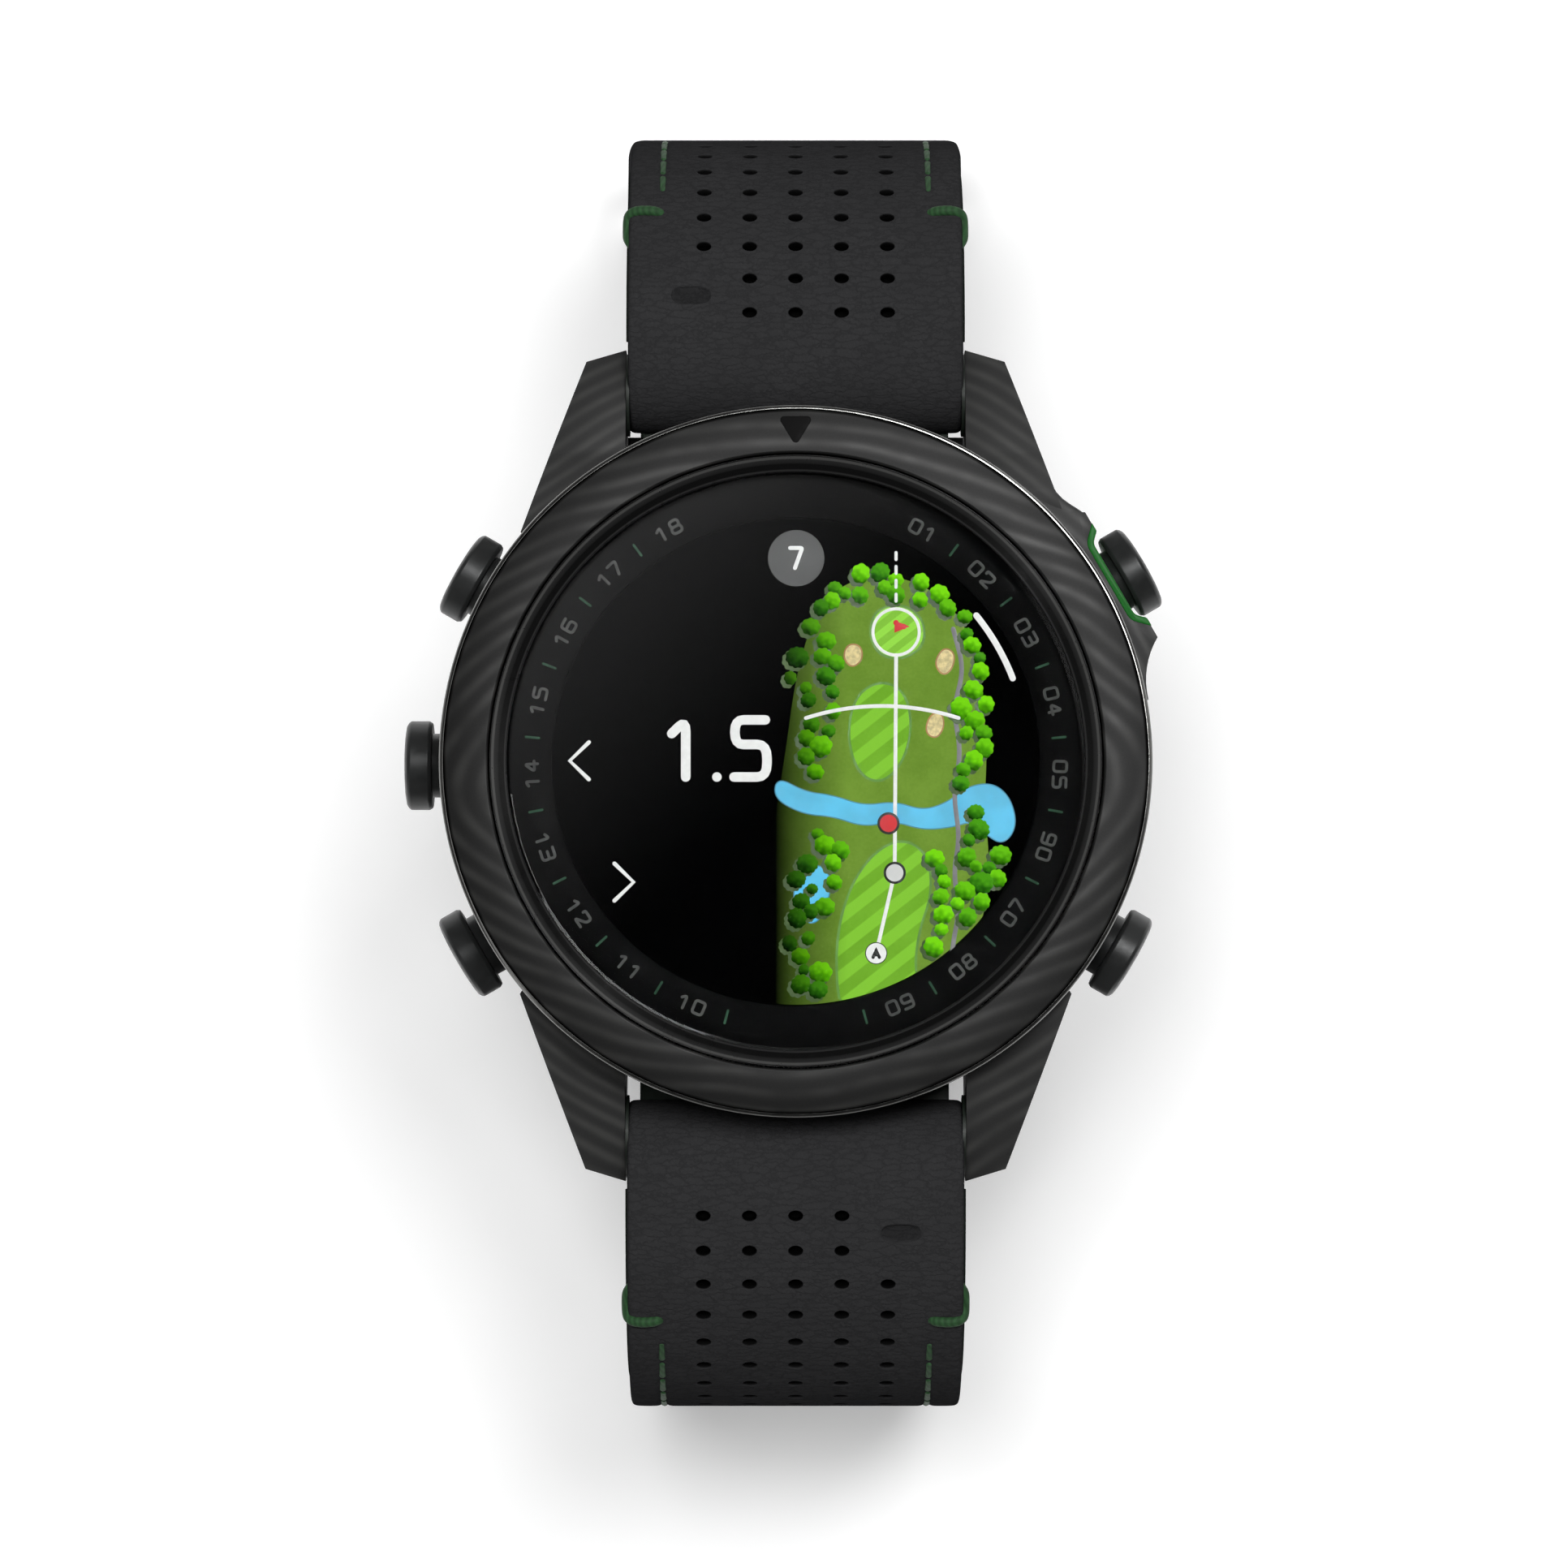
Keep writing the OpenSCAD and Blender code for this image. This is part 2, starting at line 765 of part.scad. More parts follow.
// Open ring round the frame, which receives the position signal
module gps_antenna() {
  antenna_gap = 60;
  color("#c8b68a")
    rotate([0, 0, antenna_gap / 2 - 90])
      translate([0, 0, top_z - ledge_bottom - 1.1])
        rotate_extrude(angle = 360 - antenna_gap)
          translate([frame_r + 2 * seat, 0])
            square([cavity_r - frame_r - 4 * seat, 1.1]);
}

// Board, pierced for the pegs of the frame's posts
module main_board() {
  color("#14502c")
    difference() {
      disc(board_r, board_top, board_bottom);
      each_post(board_bottom)
        translate([0, 0, -cut])
          cylinder(d = peg_d + 2 * seat, h = board_t + 2 * cut);
    }
}

module shield_can() {
  wall = 0.2;
  color("#b4b6b8")
    translate([can_x, -can_size[1] / 2, top_z - board_top])
      difference() {
        cube(can_size);
        translate([wall, wall, -cut])
          cube(can_size - [2 * wall, 2 * wall, wall - cut]);
      }
}

module battery() {
  color("#6f7376")
    translate([battery_x, -battery_size[1] / 2, top_z - board_top])
      cube(battery_size);
}

module vibration_motor() {
  color("#c0c0c0")
    translate([motor_place[0], motor_place[1], top_z - board_top]) {
      cylinder(r = motor_r, h = motor_t - 0.3);
      cylinder(r = motor_r - 0.5, h = motor_t);
    }
}

// A switch behind each button's stem, standing on the board's edge
module tact_switches() {
  body_in = stem_in - button_travel - 0.35 - switch_size[2];
  color("#2a2a2a")
    for (angle = [LIGHT, UP, DOWN, START, BACK])
      on_button(angle) {
        translate([-1, -switch_size[1] / 2, body_in])
          cube([board_top - button_depth + 1, switch_size[1], switch_size[2]]);
        translate([0, 0, body_in])
          cylinder(d = stem_d, h = switch_size[2] + 0.25);
      }
}

// Rear side

module rear_cover() {
  color("#9b9c9e")
    difference() {
      intersection() {
        union() {
          disc(cover_r, ledge_depth, case_bottom);
          translate([0, 0, top_z - case_bottom - cover_drop])
            cylinder(r1 = dome_r - cover_drop, r2 = dome_r, h = cover_drop);
        }
        translate([0, 0, top_z - case_bottom])
          cube([3 * cover_r, 2 * cover_flat, 3 * cover_drop], center = true);
      }
      disc(window_r + window_fit, ledge_depth - cut, case_bottom + 2 * cover_drop);
      translate([-port_size[0] / 2 - seat, port_y - port_size[1] / 2 - seat, top_z - case_bottom - 2 * cover_drop])
        cube([port_size[0] + 2 * seat, port_size[1] + 2 * seat, 4 * cover_drop]);
      each_rear_screw() {
        translate([0, 0, -cut])
          cylinder(d = screw_d + 2 * seat, h = 3 * cover_drop);
        translate([0, 0, -cut])
          cylinder(d = screw_head_d + 2 * seat, h = cut + screw_head_t);
      }
    }
}

module rear_gasket() {
  color("#181818")
    ring(rear_gasket_r + rear_gasket_w - seat, rear_gasket_r + seat, ledge_depth - rear_gasket_t, ledge_depth);
}

module rear_screws() {
  color("#8c8c8c")
    each_rear_screw()
      difference() {
        union() {
          cylinder(d = screw_head_d, h = screw_head_t);
          cylinder(d = screw_d, h = screw_l);
        }
        translate([0, 0, -cut])
          cylinder(d = screw_socket_d, h = cut + 0.4, $fn = 6);
      }
}

// Window over the pulse sensor, slightly domed
module sensor_window() {
  rim_depth = case_bottom + cover_drop;
  color("#16181a")
    translate([0, 0, top_z])
      rotate_extrude()
        polygon([
          [0, -ledge_depth], [window_r, -ledge_depth], [window_r, -rim_depth],
          [window_r - 1.5, -rim_depth - window_rise], [0, -rim_depth - window_rise]
        ]);
}

module sensor_board() {
  color("#155030")
    disc(window_r - 0.4, ledge_depth - 0.6, ledge_depth);
}

module charge_insulator() {
  color("#121212")
    difference() {
      translate([-port_size[0] / 2, port_y - port_size[1] / 2, top_z - case_bottom - cover_drop + 0.4])
        cube([port_size[0], port_size[1], cover_drop + case_bottom - ledge_depth - 0.4]);
      each_contact()
        cylinder(d = contact_d + 2 * seat, h = 4 * cover_drop, center = true);
    }
}

module each_contact() {
  for (i = [-1.5 : 1 : 1.5])
    translate([i * contact_pitch, port_y, top_z - case_bottom])
      children();
}

module charge_contacts() {
  color("#d0aa4c")
    each_contact()
      translate([0, 0, -cover_drop + 0.6])
        cylinder(d = contact_d, h = cover_drop + case_bottom - ledge_depth - 0.6);
}

// Buttons

// Head, neck and stem turned in one piece; the face is slightly domed
module button_cap(angle, offset) {
  head = head_in + offset;
  face = head + head_t;
  edge = 0.2;
  clip_groove_r = stem_d / 4;
  color("#161616")
    on_button(angle)
      rotate_extrude()
        polygon([
          [0, stem_in], [stem_d / 2, stem_in],
          [stem_d / 2, clip_out - clip_t - seat], [clip_groove_r, clip_out - clip_t - seat],
          [clip_groove_r, clip_out + seat], [stem_d / 2, clip_out + seat],
          [stem_d / 2, button_neck_in], [button_neck_d / 2, button_neck_in],
          [button_neck_d / 2, head], [head_d / 2 - edge, head],
          [head_d / 2, head + edge], [head_d / 2, face - dome_rise - edge],
          [head_d / 2 - edge, face - dome_rise], [head_d / 4, face - dome_rise / 4], [0, face]
        ]);
}

// Clip on the stem's inner end, open on one side
module button_clip(angle) {
  groove_d = stem_d / 2 + 2 * seat;
  color("#8a8a8a")
    on_button(angle)
      translate([0, 0, clip_out - clip_t])
        difference() {
          cylinder(r = clip_r, h = clip_t);
          translate([0, 0, -cut])
            cylinder(d = groove_d, h = clip_t + 2 * cut);
          translate([0, -groove_d / 2, -cut])
            cube([2 * clip_r, groove_d, clip_t + 2 * cut]);
        }
}

// Return spring between the bore's floor and the neck
module button_spring(angle) {
  rings = 12 * spring_turns;
  sides = 6;
  coil_r = (stem_d / 2 + button_neck_d / 2) / 2 + seat;
  low = bore_floor + spring_wire / 2 + seat;
  rise = button_neck_in - spring_wire / 2 - seat - low;
  points = [
    for (i = [0 : rings], k = [0 : sides - 1])
      let (turn = 360 * spring_turns * i / rings, around = 360 * k / sides)
      [
        (coil_r + spring_wire / 2 * cos(around)) * cos(turn),
        (coil_r + spring_wire / 2 * cos(around)) * sin(turn),
        low + rise * i / rings + spring_wire / 2 * sin(around)
      ]
  ];
  walls = [
    for (i = [0 : rings - 1], k = [0 : sides - 1])
      let (a = i * sides + k, b = i * sides + (k + 1) % sides)
      each [[a, b + sides, b], [a, a + sides, b + sides]]
  ];
  ends = [
    for (k = [1 : sides - 2])
      each [[0, k, k + 1], [rings * sides, rings * sides + k + 1, rings * sides + k]]
  ];
  color("#c4c4c0")
    on_button(angle)
      polyhedron(points, concat(walls, ends));
}

module button_seals() {
  color("#101010")
    for (angle = [LIGHT, UP, DOWN, START, BACK])
      on_button(angle)
        translate([0, 0, seal_at])
          rotate_extrude()
            translate([stem_d / 2 + pin_fit + seal_d / 2, 0])
              circle(d = seal_d - 2 * pin_fit, $fn = 24);
}

module button_light() button_cap(LIGHT, 0);
module button_up() button_cap(UP, 0);
module button_down() button_cap(DOWN, 0);
module button_start() button_cap(START, guard_offset);
module button_back() button_cap(BACK, 0);

// Bars

module lug_bars() {
  color("#9a9a9a")
    each_lug_bar()
      cylinder(d = bar_d, h = 2 * lug_bar_half, center = true);
}

module lug_screws() {
  color("#7c7c7c")
    each_lug_bar()
      for (side = [0, 1])
        mirror([0, 0, side])
          translate([0, 0, lug_bar_half])
            difference() {
              union() {
                cylinder(d = bar_d, h = lug_screw_neck + 0.1);
                translate([0, 0, lug_screw_neck])
                  cylinder(d = lug_screw_head_d, h = lug_screw_head_t);
              }
              translate([0, 0, lug_screw_neck + lug_screw_head_t / 2])
                cylinder(d = screw_socket_d, h = lug_screw_head_t, $fn = 6);
            }
}

// Strap

// Side view of a layer of the strap between two depths under its outer face
module strap_layer(outer, inner, start_y, end_y) {
  far = 4 * shoulder_r;
  intersection() {
    translate([crest_y, arc_z])
      difference() {
        circle(r = shoulder_r - outer, $fn = 200);
        circle(r = shoulder_r - inner, $fn = 200);
      }
    translate([start_y, arc_z])
      square(far);
  }
  translate([strap_y - inner, corner_r])
    square([inner - outer, arc_z - corner_r]);
  intersection() {
    translate([corner_y, corner_r])
      difference() {
        circle(r = corner_r - outer, $fn = 200);
        circle(r = corner_r - inner, $fn = 200);
      }
    translate([corner_y, corner_r - far])
      square(far);
  }
  translate([end_y + strap_t / 2, outer])
    square([corner_y - end_y - strap_t / 2, inner - outer]);
  intersection() {
    translate([end_y + strap_t / 2, strap_t / 2])
      circle(d = strap_t);
    translate([end_y, outer])
      square([strap_t / 2, inner - outer]);
  }
}

// Side view of the strap's start under a depth: its shoulder and the roll down to the case
module rolled_start(depth) {
  translate([crest_y, arc_z]) {
    intersection() {
      circle(r = shoulder_r - depth, $fn = 200);
      rotate(roll_turn)
        square(2 * shoulder_r);
    }
  }
  translate([roll_y, roll_z])
    circle(r = roll_r - depth, $fn = 120);
  translate([strap_start_y + depth, 0])
    square([crest_y - strap_start_y - depth, roll_z]);
}

// Side view of the leather, skived thin over the end block
module leather_side(end_y) {
  strap_layer(0, leather_t, block_out_y + seat, end_y);
  intersection() {
    difference() {
      rolled_start(0);
      rolled_start(skive_t);
    }
    translate([strap_start_y - cut, roll_z])
      square([block_out_y + seat - strap_start_y + cut, 2 * roll_r]);
  }
}

// Grooves for the two stitch lines, from the first stitch down to the strap's end
module stitch_grooves(end_y) {
  first = strap_at(stitch_start - stitch_l);
  for (side = [-1, 1])
    translate([side * stitch_x, 0, 0])
      along_x(groove_w)
        intersection() {
          strap_layer(-cut, groove_d, crest_y, end_y);
          translate([-2 * strap_y, -cut])
            square([4 * strap_y, first[1] + cut]);
        }
}

// A thread laid over the strap's edge: across its face and down its side
module bar_thread(d, extra) {
  for (side = [0, 1])
    mirror([side, 0, 0])
      on_strap(bar_stitch_at, strap_w / 2) {
        translate([-bar_stitch_l - extra, 0, 0])
          rotate([0, 90, 0])
            cylinder(d = d, h = bar_stitch_l + extra, $fn = 24);
        translate([0, 0, seat - leather_t - extra])
          cylinder(d = d, h = leather_t + extra - seat, $fn = 24);
        sphere(d = d, $fn = 24);
      }
}

// Perforations in columns; the first two rows leave room for a pressed mark at one edge
module perforations() {
  for (row = [0 : perf_rows - 1], col = [-2 : 2])
    if (row > 1 || col > -2)
      on_strap(perf_start + row * perf_row, col * perf_col)
        translate([0, 0, -leather_t - cut])
          cylinder(d = perf_d, h = leather_t + 2 * cut, $fn = 24);
}

// Pressed mark: a short bar with round ends
module pressed_mark() {
  on_strap(perf_start + perf_row / 2, -2 * perf_col - mark_out)
    translate([0, 0, -mark_depth]) {
      for (side = [-1, 1])
        translate([side * (mark_l - mark_w) / 2, 0, 0])
          cylinder(d = mark_w, h = 2 * mark_depth + cut, $fn = 32);
      translate([0, 0, mark_depth + cut / 2])
        cube([mark_l - mark_w, mark_w, 2 * mark_depth + cut], center = true);
    }
}

mark_l = 2.6;
mark_w = 1.0;
mark_out = 0.9;
mark_depth = 0.3;
tail_round = 8;
slot_w = 3;
slot_l = 2.4;

// What is cut from leather and lining alike at the buckle's end
module buckle_cuts() {
  translate([0, buckle_y, buckle_z])
    rotate([0, 90, 0])
      cylinder(d = buckle_bar_d + 2 * seat, h = 2 * strap_w, center = true);
  translate([-slot_w / 2, buckle_y - 2 * strap_t, -cut])
    cube([slot_w, 2 * strap_t + slot_l, strap_t + 2 * cut]);
}

// What is cut from leather and lining alike at the tail: its holes and round corners
module tail_cuts() {
  for (i = [0 : tail_hole_count - 1])
    translate([0, tail_hole_first + i * tail_hole_pitch, -cut])
      cylinder(d = tail_hole_d, h = strap_t + 2 * cut);
  for (side = [0, 1])
    mirror([side, 0, 0])
      translate([strap_w / 2 - tail_round, tail_round - tail_end_y, -cut])
        difference() {
          translate([0, -2 * tail_round, 0])
            cube([2 * tail_round, 2 * tail_round, strap_t + 2 * cut]);
          translate([0, 0, -cut])
            cylinder(r = tail_round, h = strap_t + 4 * cut);
        }
}

module leather(end_y) {
  color("#323232")
    difference() {
      along_x(strap_w)
        leather_side(end_y);
      perforations();
      pressed_mark();
      stitch_grooves(end_y);
      bar_thread(groove_w, 0.1);
      children();
    }
}

module lining(end_y) {
  color("#1a201b")
    difference() {
      along_x(strap_w + 2 * lining_ledge)
        strap_layer(leather_t, strap_t, block_out_y + seat, end_y);
      children();
    }
}

module stitching(length) {
  color("#3c5a3c") {
    bar_thread(thread_d, 0);
    for (s = [stitch_start : stitch_pitch : length - strap_t], side = [-1, 1])
      on_strap(s, side * stitch_x)
        translate([0, 0, -thread_d / 2 - 0.01])
          rotate([90, 0, 0])
            cylinder(d = thread_d, h = stitch_l, center = true, $fn = 16);
  }
}

// Rigid end that turns on the lug bar, under the leather's start
module end_block() {
  color("#1c1c1c")
    difference() {
      along_x(block_w)
        intersection() {
          union() {
            rolled_start(skive_t + seat);
            square([crest_y, roll_z - seat]);
          }
          polygon([
            [block_in_y, top_z], [block_in_y, bar_z - block_drop + 1], [block_in_y + 1, bar_z - block_drop],
            [bar_y + block_heel, bar_z - block_drop], [block_out_y, bar_z + 0.6], [block_out_y, top_z]
          ]);
        }
      translate([0, bar_y, bar_z])
        rotate([0, 90, 0])
          cylinder(d = bar_d + 2 * pin_fit, h = 2 * block_w, center = true);
      translate([-latch_size[0] / 2 - seat, latch_y - seat, bar_z - block_drop - cut])
        cube([latch_size[0] + 2 * seat, latch_size[1] + latch_travel + 2 * seat, cut + latch_size[2] + seat]);
    }
}

latch_y = block_in_y + 1.1;
latch_travel = 0.8;

// Quick-release slider in the end block's under side, with a ridge for the nail
module latch() {
  color("#8e8e8e")
    translate([0, latch_y, bar_z - block_drop]) {
      translate([-latch_size[0] / 2, 0, 0])
        cube(latch_size);
      for (i = [0 : 2])
        translate([-latch_size[0] / 2 + 1, 0.6 + i * 0.8, -0.25])
          cube([latch_size[0] - 2, 0.4, 0.25 + latch_size[2] / 2]);
    }
}

buckle_end = buckle_y - strap_t / 2;

module strap_12_leather() leather(buckle_end) buckle_cuts();
module strap_12_lining() lining(buckle_end) buckle_cuts();
module strap_12_stitching() stitching(buckle_strap_l);
module strap_12_end_block() end_block();
module strap_12_latch() latch();

module strap_6_leather() rotate([0, 0, 180]) leather(-tail_end_y) tail_cuts();
module strap_6_lining() rotate([0, 0, 180]) lining(-tail_end_y) tail_cuts();
module strap_6_stitching() rotate([0, 0, 180]) stitching(tail_l - tail_round);
module strap_6_end_block() rotate([0, 0, 180]) end_block();
module strap_6_latch() rotate([0, 0, 180]) latch();

// Buckle and keepers

arm_in = strap_w / 2 + lining_ledge + 0.15;
arm_out = arm_in + buckle_arm;
front_w = 2.6;
front_round = 3;
tang_w = 1.8;
tang_t = 0.9;
tang_low = 0.45;

module buckle_bar() {
  color("#9a9a9a")
    translate([0, buckle_y, buckle_z])
      rotate([0, 90, 0])
        cylinder(d = buckle_bar_d, h = 2 * arm_out - 0.6, center = true);
}

// Plan of the buckle's frame: two arms and a front bar with round corners
module buckle_plan() {
  front_y = buckle_y - buckle_l;
  difference() {
    union() {
      translate([-arm_out, front_y + front_round])
        square([2 * arm_out, buckle_l - front_round]);
      translate([-arm_out + front_round, front_y])
        square([2 * (arm_out - front_round), front_round]);
      for (side = [-1, 1])
        translate([side * (arm_out - front_round), front_y + front_round])
          circle(r = front_round);
    }
    translate([-arm_in, front_y + front_w])
      square([2 * arm_in, buckle_l]);
  }
}

module buckle_frame() {
  color("#2c2c2e")
    difference() {
      union() {
        translate([0, 0, buckle_z - buckle_t / 2])
          linear_extrude(buckle_t)
            buckle_plan();
        for (side = [0, 1])
          mirror([side, 0, 0])
            translate([arm_in, buckle_y, buckle_z])
              rotate([0, 90, 0])
                cylinder(d = buckle_t, h = buckle_arm);
      }
      translate([0, buckle_y, buckle_z])
        rotate([0, 90, 0])
          cylinder(d = buckle_bar_d + 2 * pin_fit, h = 3 * arm_out, center = true);
      translate([-tang_w / 2 - 0.15, buckle_y - buckle_l - cut, -cut])
        cube([tang_w + 0.3, front_w + 2 * cut, cut + tang_low + tang_t + seat]);
    }
}

module buckle_tang() {
  color("#2c2c2e")
    difference() {
      union() {
        translate([0, buckle_y, buckle_z])
          rotate([0, 90, 0])
            cylinder(d = buckle_t, h = tang_w, center = true);
        translate([-tang_w / 2, buckle_y - buckle_l + 0.6, tang_low])
          cube([tang_w, buckle_l - 0.6, tang_t]);
      }
      translate([0, buckle_y, buckle_z])
        rotate([0, 90, 0])
          cylinder(d = buckle_bar_d + 2 * pin_fit, h = 3 * tang_w, center = true);
    }
}

// A square with round corners
module round_square(size, r) {
  translate([r, 0])
    square([size[0] - 2 * r, size[1]]);
  translate([0, r])
    square([size[0], size[1] - 2 * r]);
  for (x = [r, size[0] - r], y = [r, size[1] - r])
    translate([x, y])
      circle(r = r);
}

// Band round the strap and the tail, square to the strap's lower corner at an angle
module keeper(at) {
  half_in = strap_w / 2 + lining_ledge + keeper_fit;
  room = [keeper_out - keeper_in, 2 * half_in];
  wall = [keeper_wall, keeper_wall];
  color("#2e2e2e")
    translate([0, corner_y, corner_r])
      rotate([0, 90, 0])
        rotate([0, 0, at])
          rotate([90, 0, 0])
            linear_extrude(keeper_w, center = true)
              translate([keeper_in, -half_in])
                difference() {
                  translate(-wall)
                    round_square(room + 2 * wall, keeper_round);
                  round_square(room, keeper_round - keeper_wall);
                }
}

module fixed_keeper() keeper(fixed_keeper_at);
module sliding_keeper() keeper(sliding_keeper_at);

module button_light_spring() button_spring(LIGHT);
module button_light_clip() button_clip(LIGHT);
module button_up_spring() button_spring(UP);
module button_up_clip() button_clip(UP);
module button_down_spring() button_spring(DOWN);
module button_down_clip() button_clip(DOWN);
module button_start_spring() button_spring(START);
module button_start_clip() button_clip(START);
module button_back_spring() button_spring(BACK);
module button_back_clip() button_clip(BACK);

mid_case();
button_guard();
bezel_ring();
bezel_inlay();
bezel_pip();
bezel_wire();
bezel_click_spring();
lens_ring();
lens();
lens_gasket();
dial_ring();
display_panel();
display_flex();
inner_frame();
gps_antenna();
main_board();
shield_can();
battery();
vibration_motor();
tact_switches();
rear_cover();
rear_gasket();
rear_screws();
sensor_window();
sensor_board();
charge_insulator();
charge_contacts();
button_light();
button_up();
button_down();
button_start();
button_back();
button_light_spring();
button_up_spring();
button_down_spring();
button_start_spring();
button_back_spring();
button_light_clip();
button_up_clip();
button_down_clip();
button_start_clip();
button_back_clip();
button_seals();
lug_bars();
lug_screws();
strap_12_leather();
strap_12_lining();
strap_12_stitching();
strap_12_end_block();
strap_12_latch();
strap_6_leather();
strap_6_lining();
strap_6_stitching();
strap_6_end_block();
strap_6_latch();
buckle_bar();
buckle_frame();
buckle_tang();
fixed_keeper();
sliding_keeper();
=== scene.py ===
"""Looks of a golf watch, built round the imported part: lit hole map, carbon case, stitched leather strap."""

import math

import bmesh
import bpy
from mathutils import Matrix, Vector, noise


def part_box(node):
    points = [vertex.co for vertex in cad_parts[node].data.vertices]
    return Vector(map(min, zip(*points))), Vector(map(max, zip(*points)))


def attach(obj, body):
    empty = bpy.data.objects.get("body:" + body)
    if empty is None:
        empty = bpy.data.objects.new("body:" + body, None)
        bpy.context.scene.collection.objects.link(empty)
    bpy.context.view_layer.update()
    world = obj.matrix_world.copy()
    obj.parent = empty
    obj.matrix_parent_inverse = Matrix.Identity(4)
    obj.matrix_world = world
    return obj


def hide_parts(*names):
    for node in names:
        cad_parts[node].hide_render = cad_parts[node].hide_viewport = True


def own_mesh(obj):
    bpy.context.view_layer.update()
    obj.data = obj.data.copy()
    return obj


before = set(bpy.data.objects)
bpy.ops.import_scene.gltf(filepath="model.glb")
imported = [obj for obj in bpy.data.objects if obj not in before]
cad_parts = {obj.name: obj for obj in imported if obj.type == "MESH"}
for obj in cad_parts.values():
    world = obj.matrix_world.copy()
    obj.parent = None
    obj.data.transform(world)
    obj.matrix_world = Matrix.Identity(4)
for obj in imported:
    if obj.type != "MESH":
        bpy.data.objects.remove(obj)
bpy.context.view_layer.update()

MM = 0.001  # pieces are drawn in millimetres and scaled to metres when they are finished


def corners(node):
    """Lowest and highest corners of a CAD node, in millimetres."""
    low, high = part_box(node)
    return Vector(low) / MM, Vector(high) / MM


# Case and dial, measured from the frame

TOP = corners("bezel_inlay")[1].z
BEZEL_LOW, RIM_TOP = (corner.z for corner in corners("bezel_ring"))
BEZEL_R = corners("bezel_ring")[1].x
INLAY_LOW = corners("bezel_inlay")[0].z
INLAY_R = corners("bezel_inlay")[1].x
CASE_TOP_Z = TOP - 3.6
LENS_RING_LOW, LENS_RING_TOP = (corner.z for corner in corners("lens_ring"))
LENS_RING_R = corners("lens_ring")[1].x
LENS_LOW, LENS_TOP = (corner.z for corner in corners("lens"))
LENS_R = corners("lens")[1].x
DIAL_LOW, DIAL_TOP = (corner.z for corner in corners("dial_ring"))
DIAL_R = corners("dial_ring")[1].x
PANEL_TOP = corners("display_panel")[1].z
BUTTON_Z = sum(corner.z for corner in corners("button_up")) / 2
BUTTON_OUT = -corners("button_up")[0].x
BUTTON_HEAD_R = (corners("button_up")[1].y - corners("button_up")[0].y) / 2
START_OUT = 0.8  # the guarded button stands this much further out
BEZEL_IN = LENS_RING_R + 0.08  # the bezel turns round the lens ring with this play
PICTURE_R = 15.8  # inner radius of the printed ring, which frames the lit picture
BUTTON_ANGLES = {"light": 150, "up": 180, "down": 210, "start": 30, "back": -30}

# Strap, measured from the frame and repeated from the part's source

STRAP_HALF = corners("strap_12_leather")[1].x
STRAP_OUT = corners("strap_12_leather")[1].y
CREST_Z = corners("strap_12_leather")[1].z
LINING_HALF = corners("strap_12_lining")[1].x
SHOULDER_R = 14.3
CORNER_R = 18.0
LEATHER_T = 1.6
STRAP_T = 2.8
SKIVE_T = 0.7  # the leather's thickness over the end block
STRAP_START_Y = corners("strap_12_leather")[0].y
LINING_START_Y = 27.65
BUCKLE_END_Y = 22.2
TAIL_END_Y = -corners("strap_6_leather")[1].y
CREST_Y = STRAP_OUT - SHOULDER_R
ARC_Z = CREST_Z - SHOULDER_R
CORNER_Y = STRAP_OUT - CORNER_R
ROLL_R = 4.5
ROLL_Y = STRAP_START_Y + ROLL_R
ROLL_TURN = math.asin((CREST_Y - ROLL_Y) / (SHOULDER_R - ROLL_R))
ROLL_Z = ARC_Z + (SHOULDER_R - ROLL_R) * math.cos(ROLL_TURN)
ROLL_AT = -SHOULDER_R * ROLL_TURN
SHOULDER_L = SHOULDER_R * math.pi / 2
SIDE_L = ARC_Z - CORNER_R
CORNER_L = CORNER_R * math.pi / 2
FLAT_START = SHOULDER_L + SIDE_L + CORNER_L
PERF_D = 1.0
PERF_COL = 3.0
PERF_ROW = 2.32
PERF_START = 1.2
PERF_ROWS = 14
STITCH_X = 8.75
STITCH_PITCH = 2.05
STITCH_L = 1.85
THREAD_D = 0.5
BAR_STITCH_AT = 8.6
STITCH_START = BAR_STITCH_AT + 2.9


# Mesh tools

def finish_piece(bm, name, body, finish, nodes=(), smooth=40):
    """Turns a bmesh in millimetres into a piece that rides on a body and stands for CAD nodes."""
    bmesh.ops.scale(bm, vec=(MM, MM, MM), verts=bm.verts)
    mesh = bpy.data.meshes.new(name)
    bm.to_mesh(mesh)
    bm.free()
    mesh.polygons.foreach_set("use_smooth", [True] * len(mesh.polygons))
    mesh.set_sharp_from_angle(angle=math.radians(smooth))
    mesh.materials.append(finish)
    piece = bpy.data.objects.new(name, mesh)
    bpy.context.collection.objects.link(piece)
    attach(piece, body)
    if nodes:
        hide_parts(*nodes)
    return piece


def refine(piece, levels):
    """Adds a subdivision surface, the same in the viewport and in renders."""
    surface = piece.modifiers.new("surface", "SUBSURF")
    surface.levels = levels
    surface.render_levels = levels


def ease_edges(bm, width, sharp=30):
    """Rounds every edge that is sharper than an angle."""
    edges = [
        edge for edge in bm.edges
        if len(edge.link_faces) == 2 and edge.calc_face_angle(0) > math.radians(sharp)
    ]
    bmesh.ops.bevel(
        bm, geom=edges, offset=width, offset_type="OFFSET", affect="EDGES",
        segments=2, profile=0.5, material=-1, clamp_overlap=True,
    )


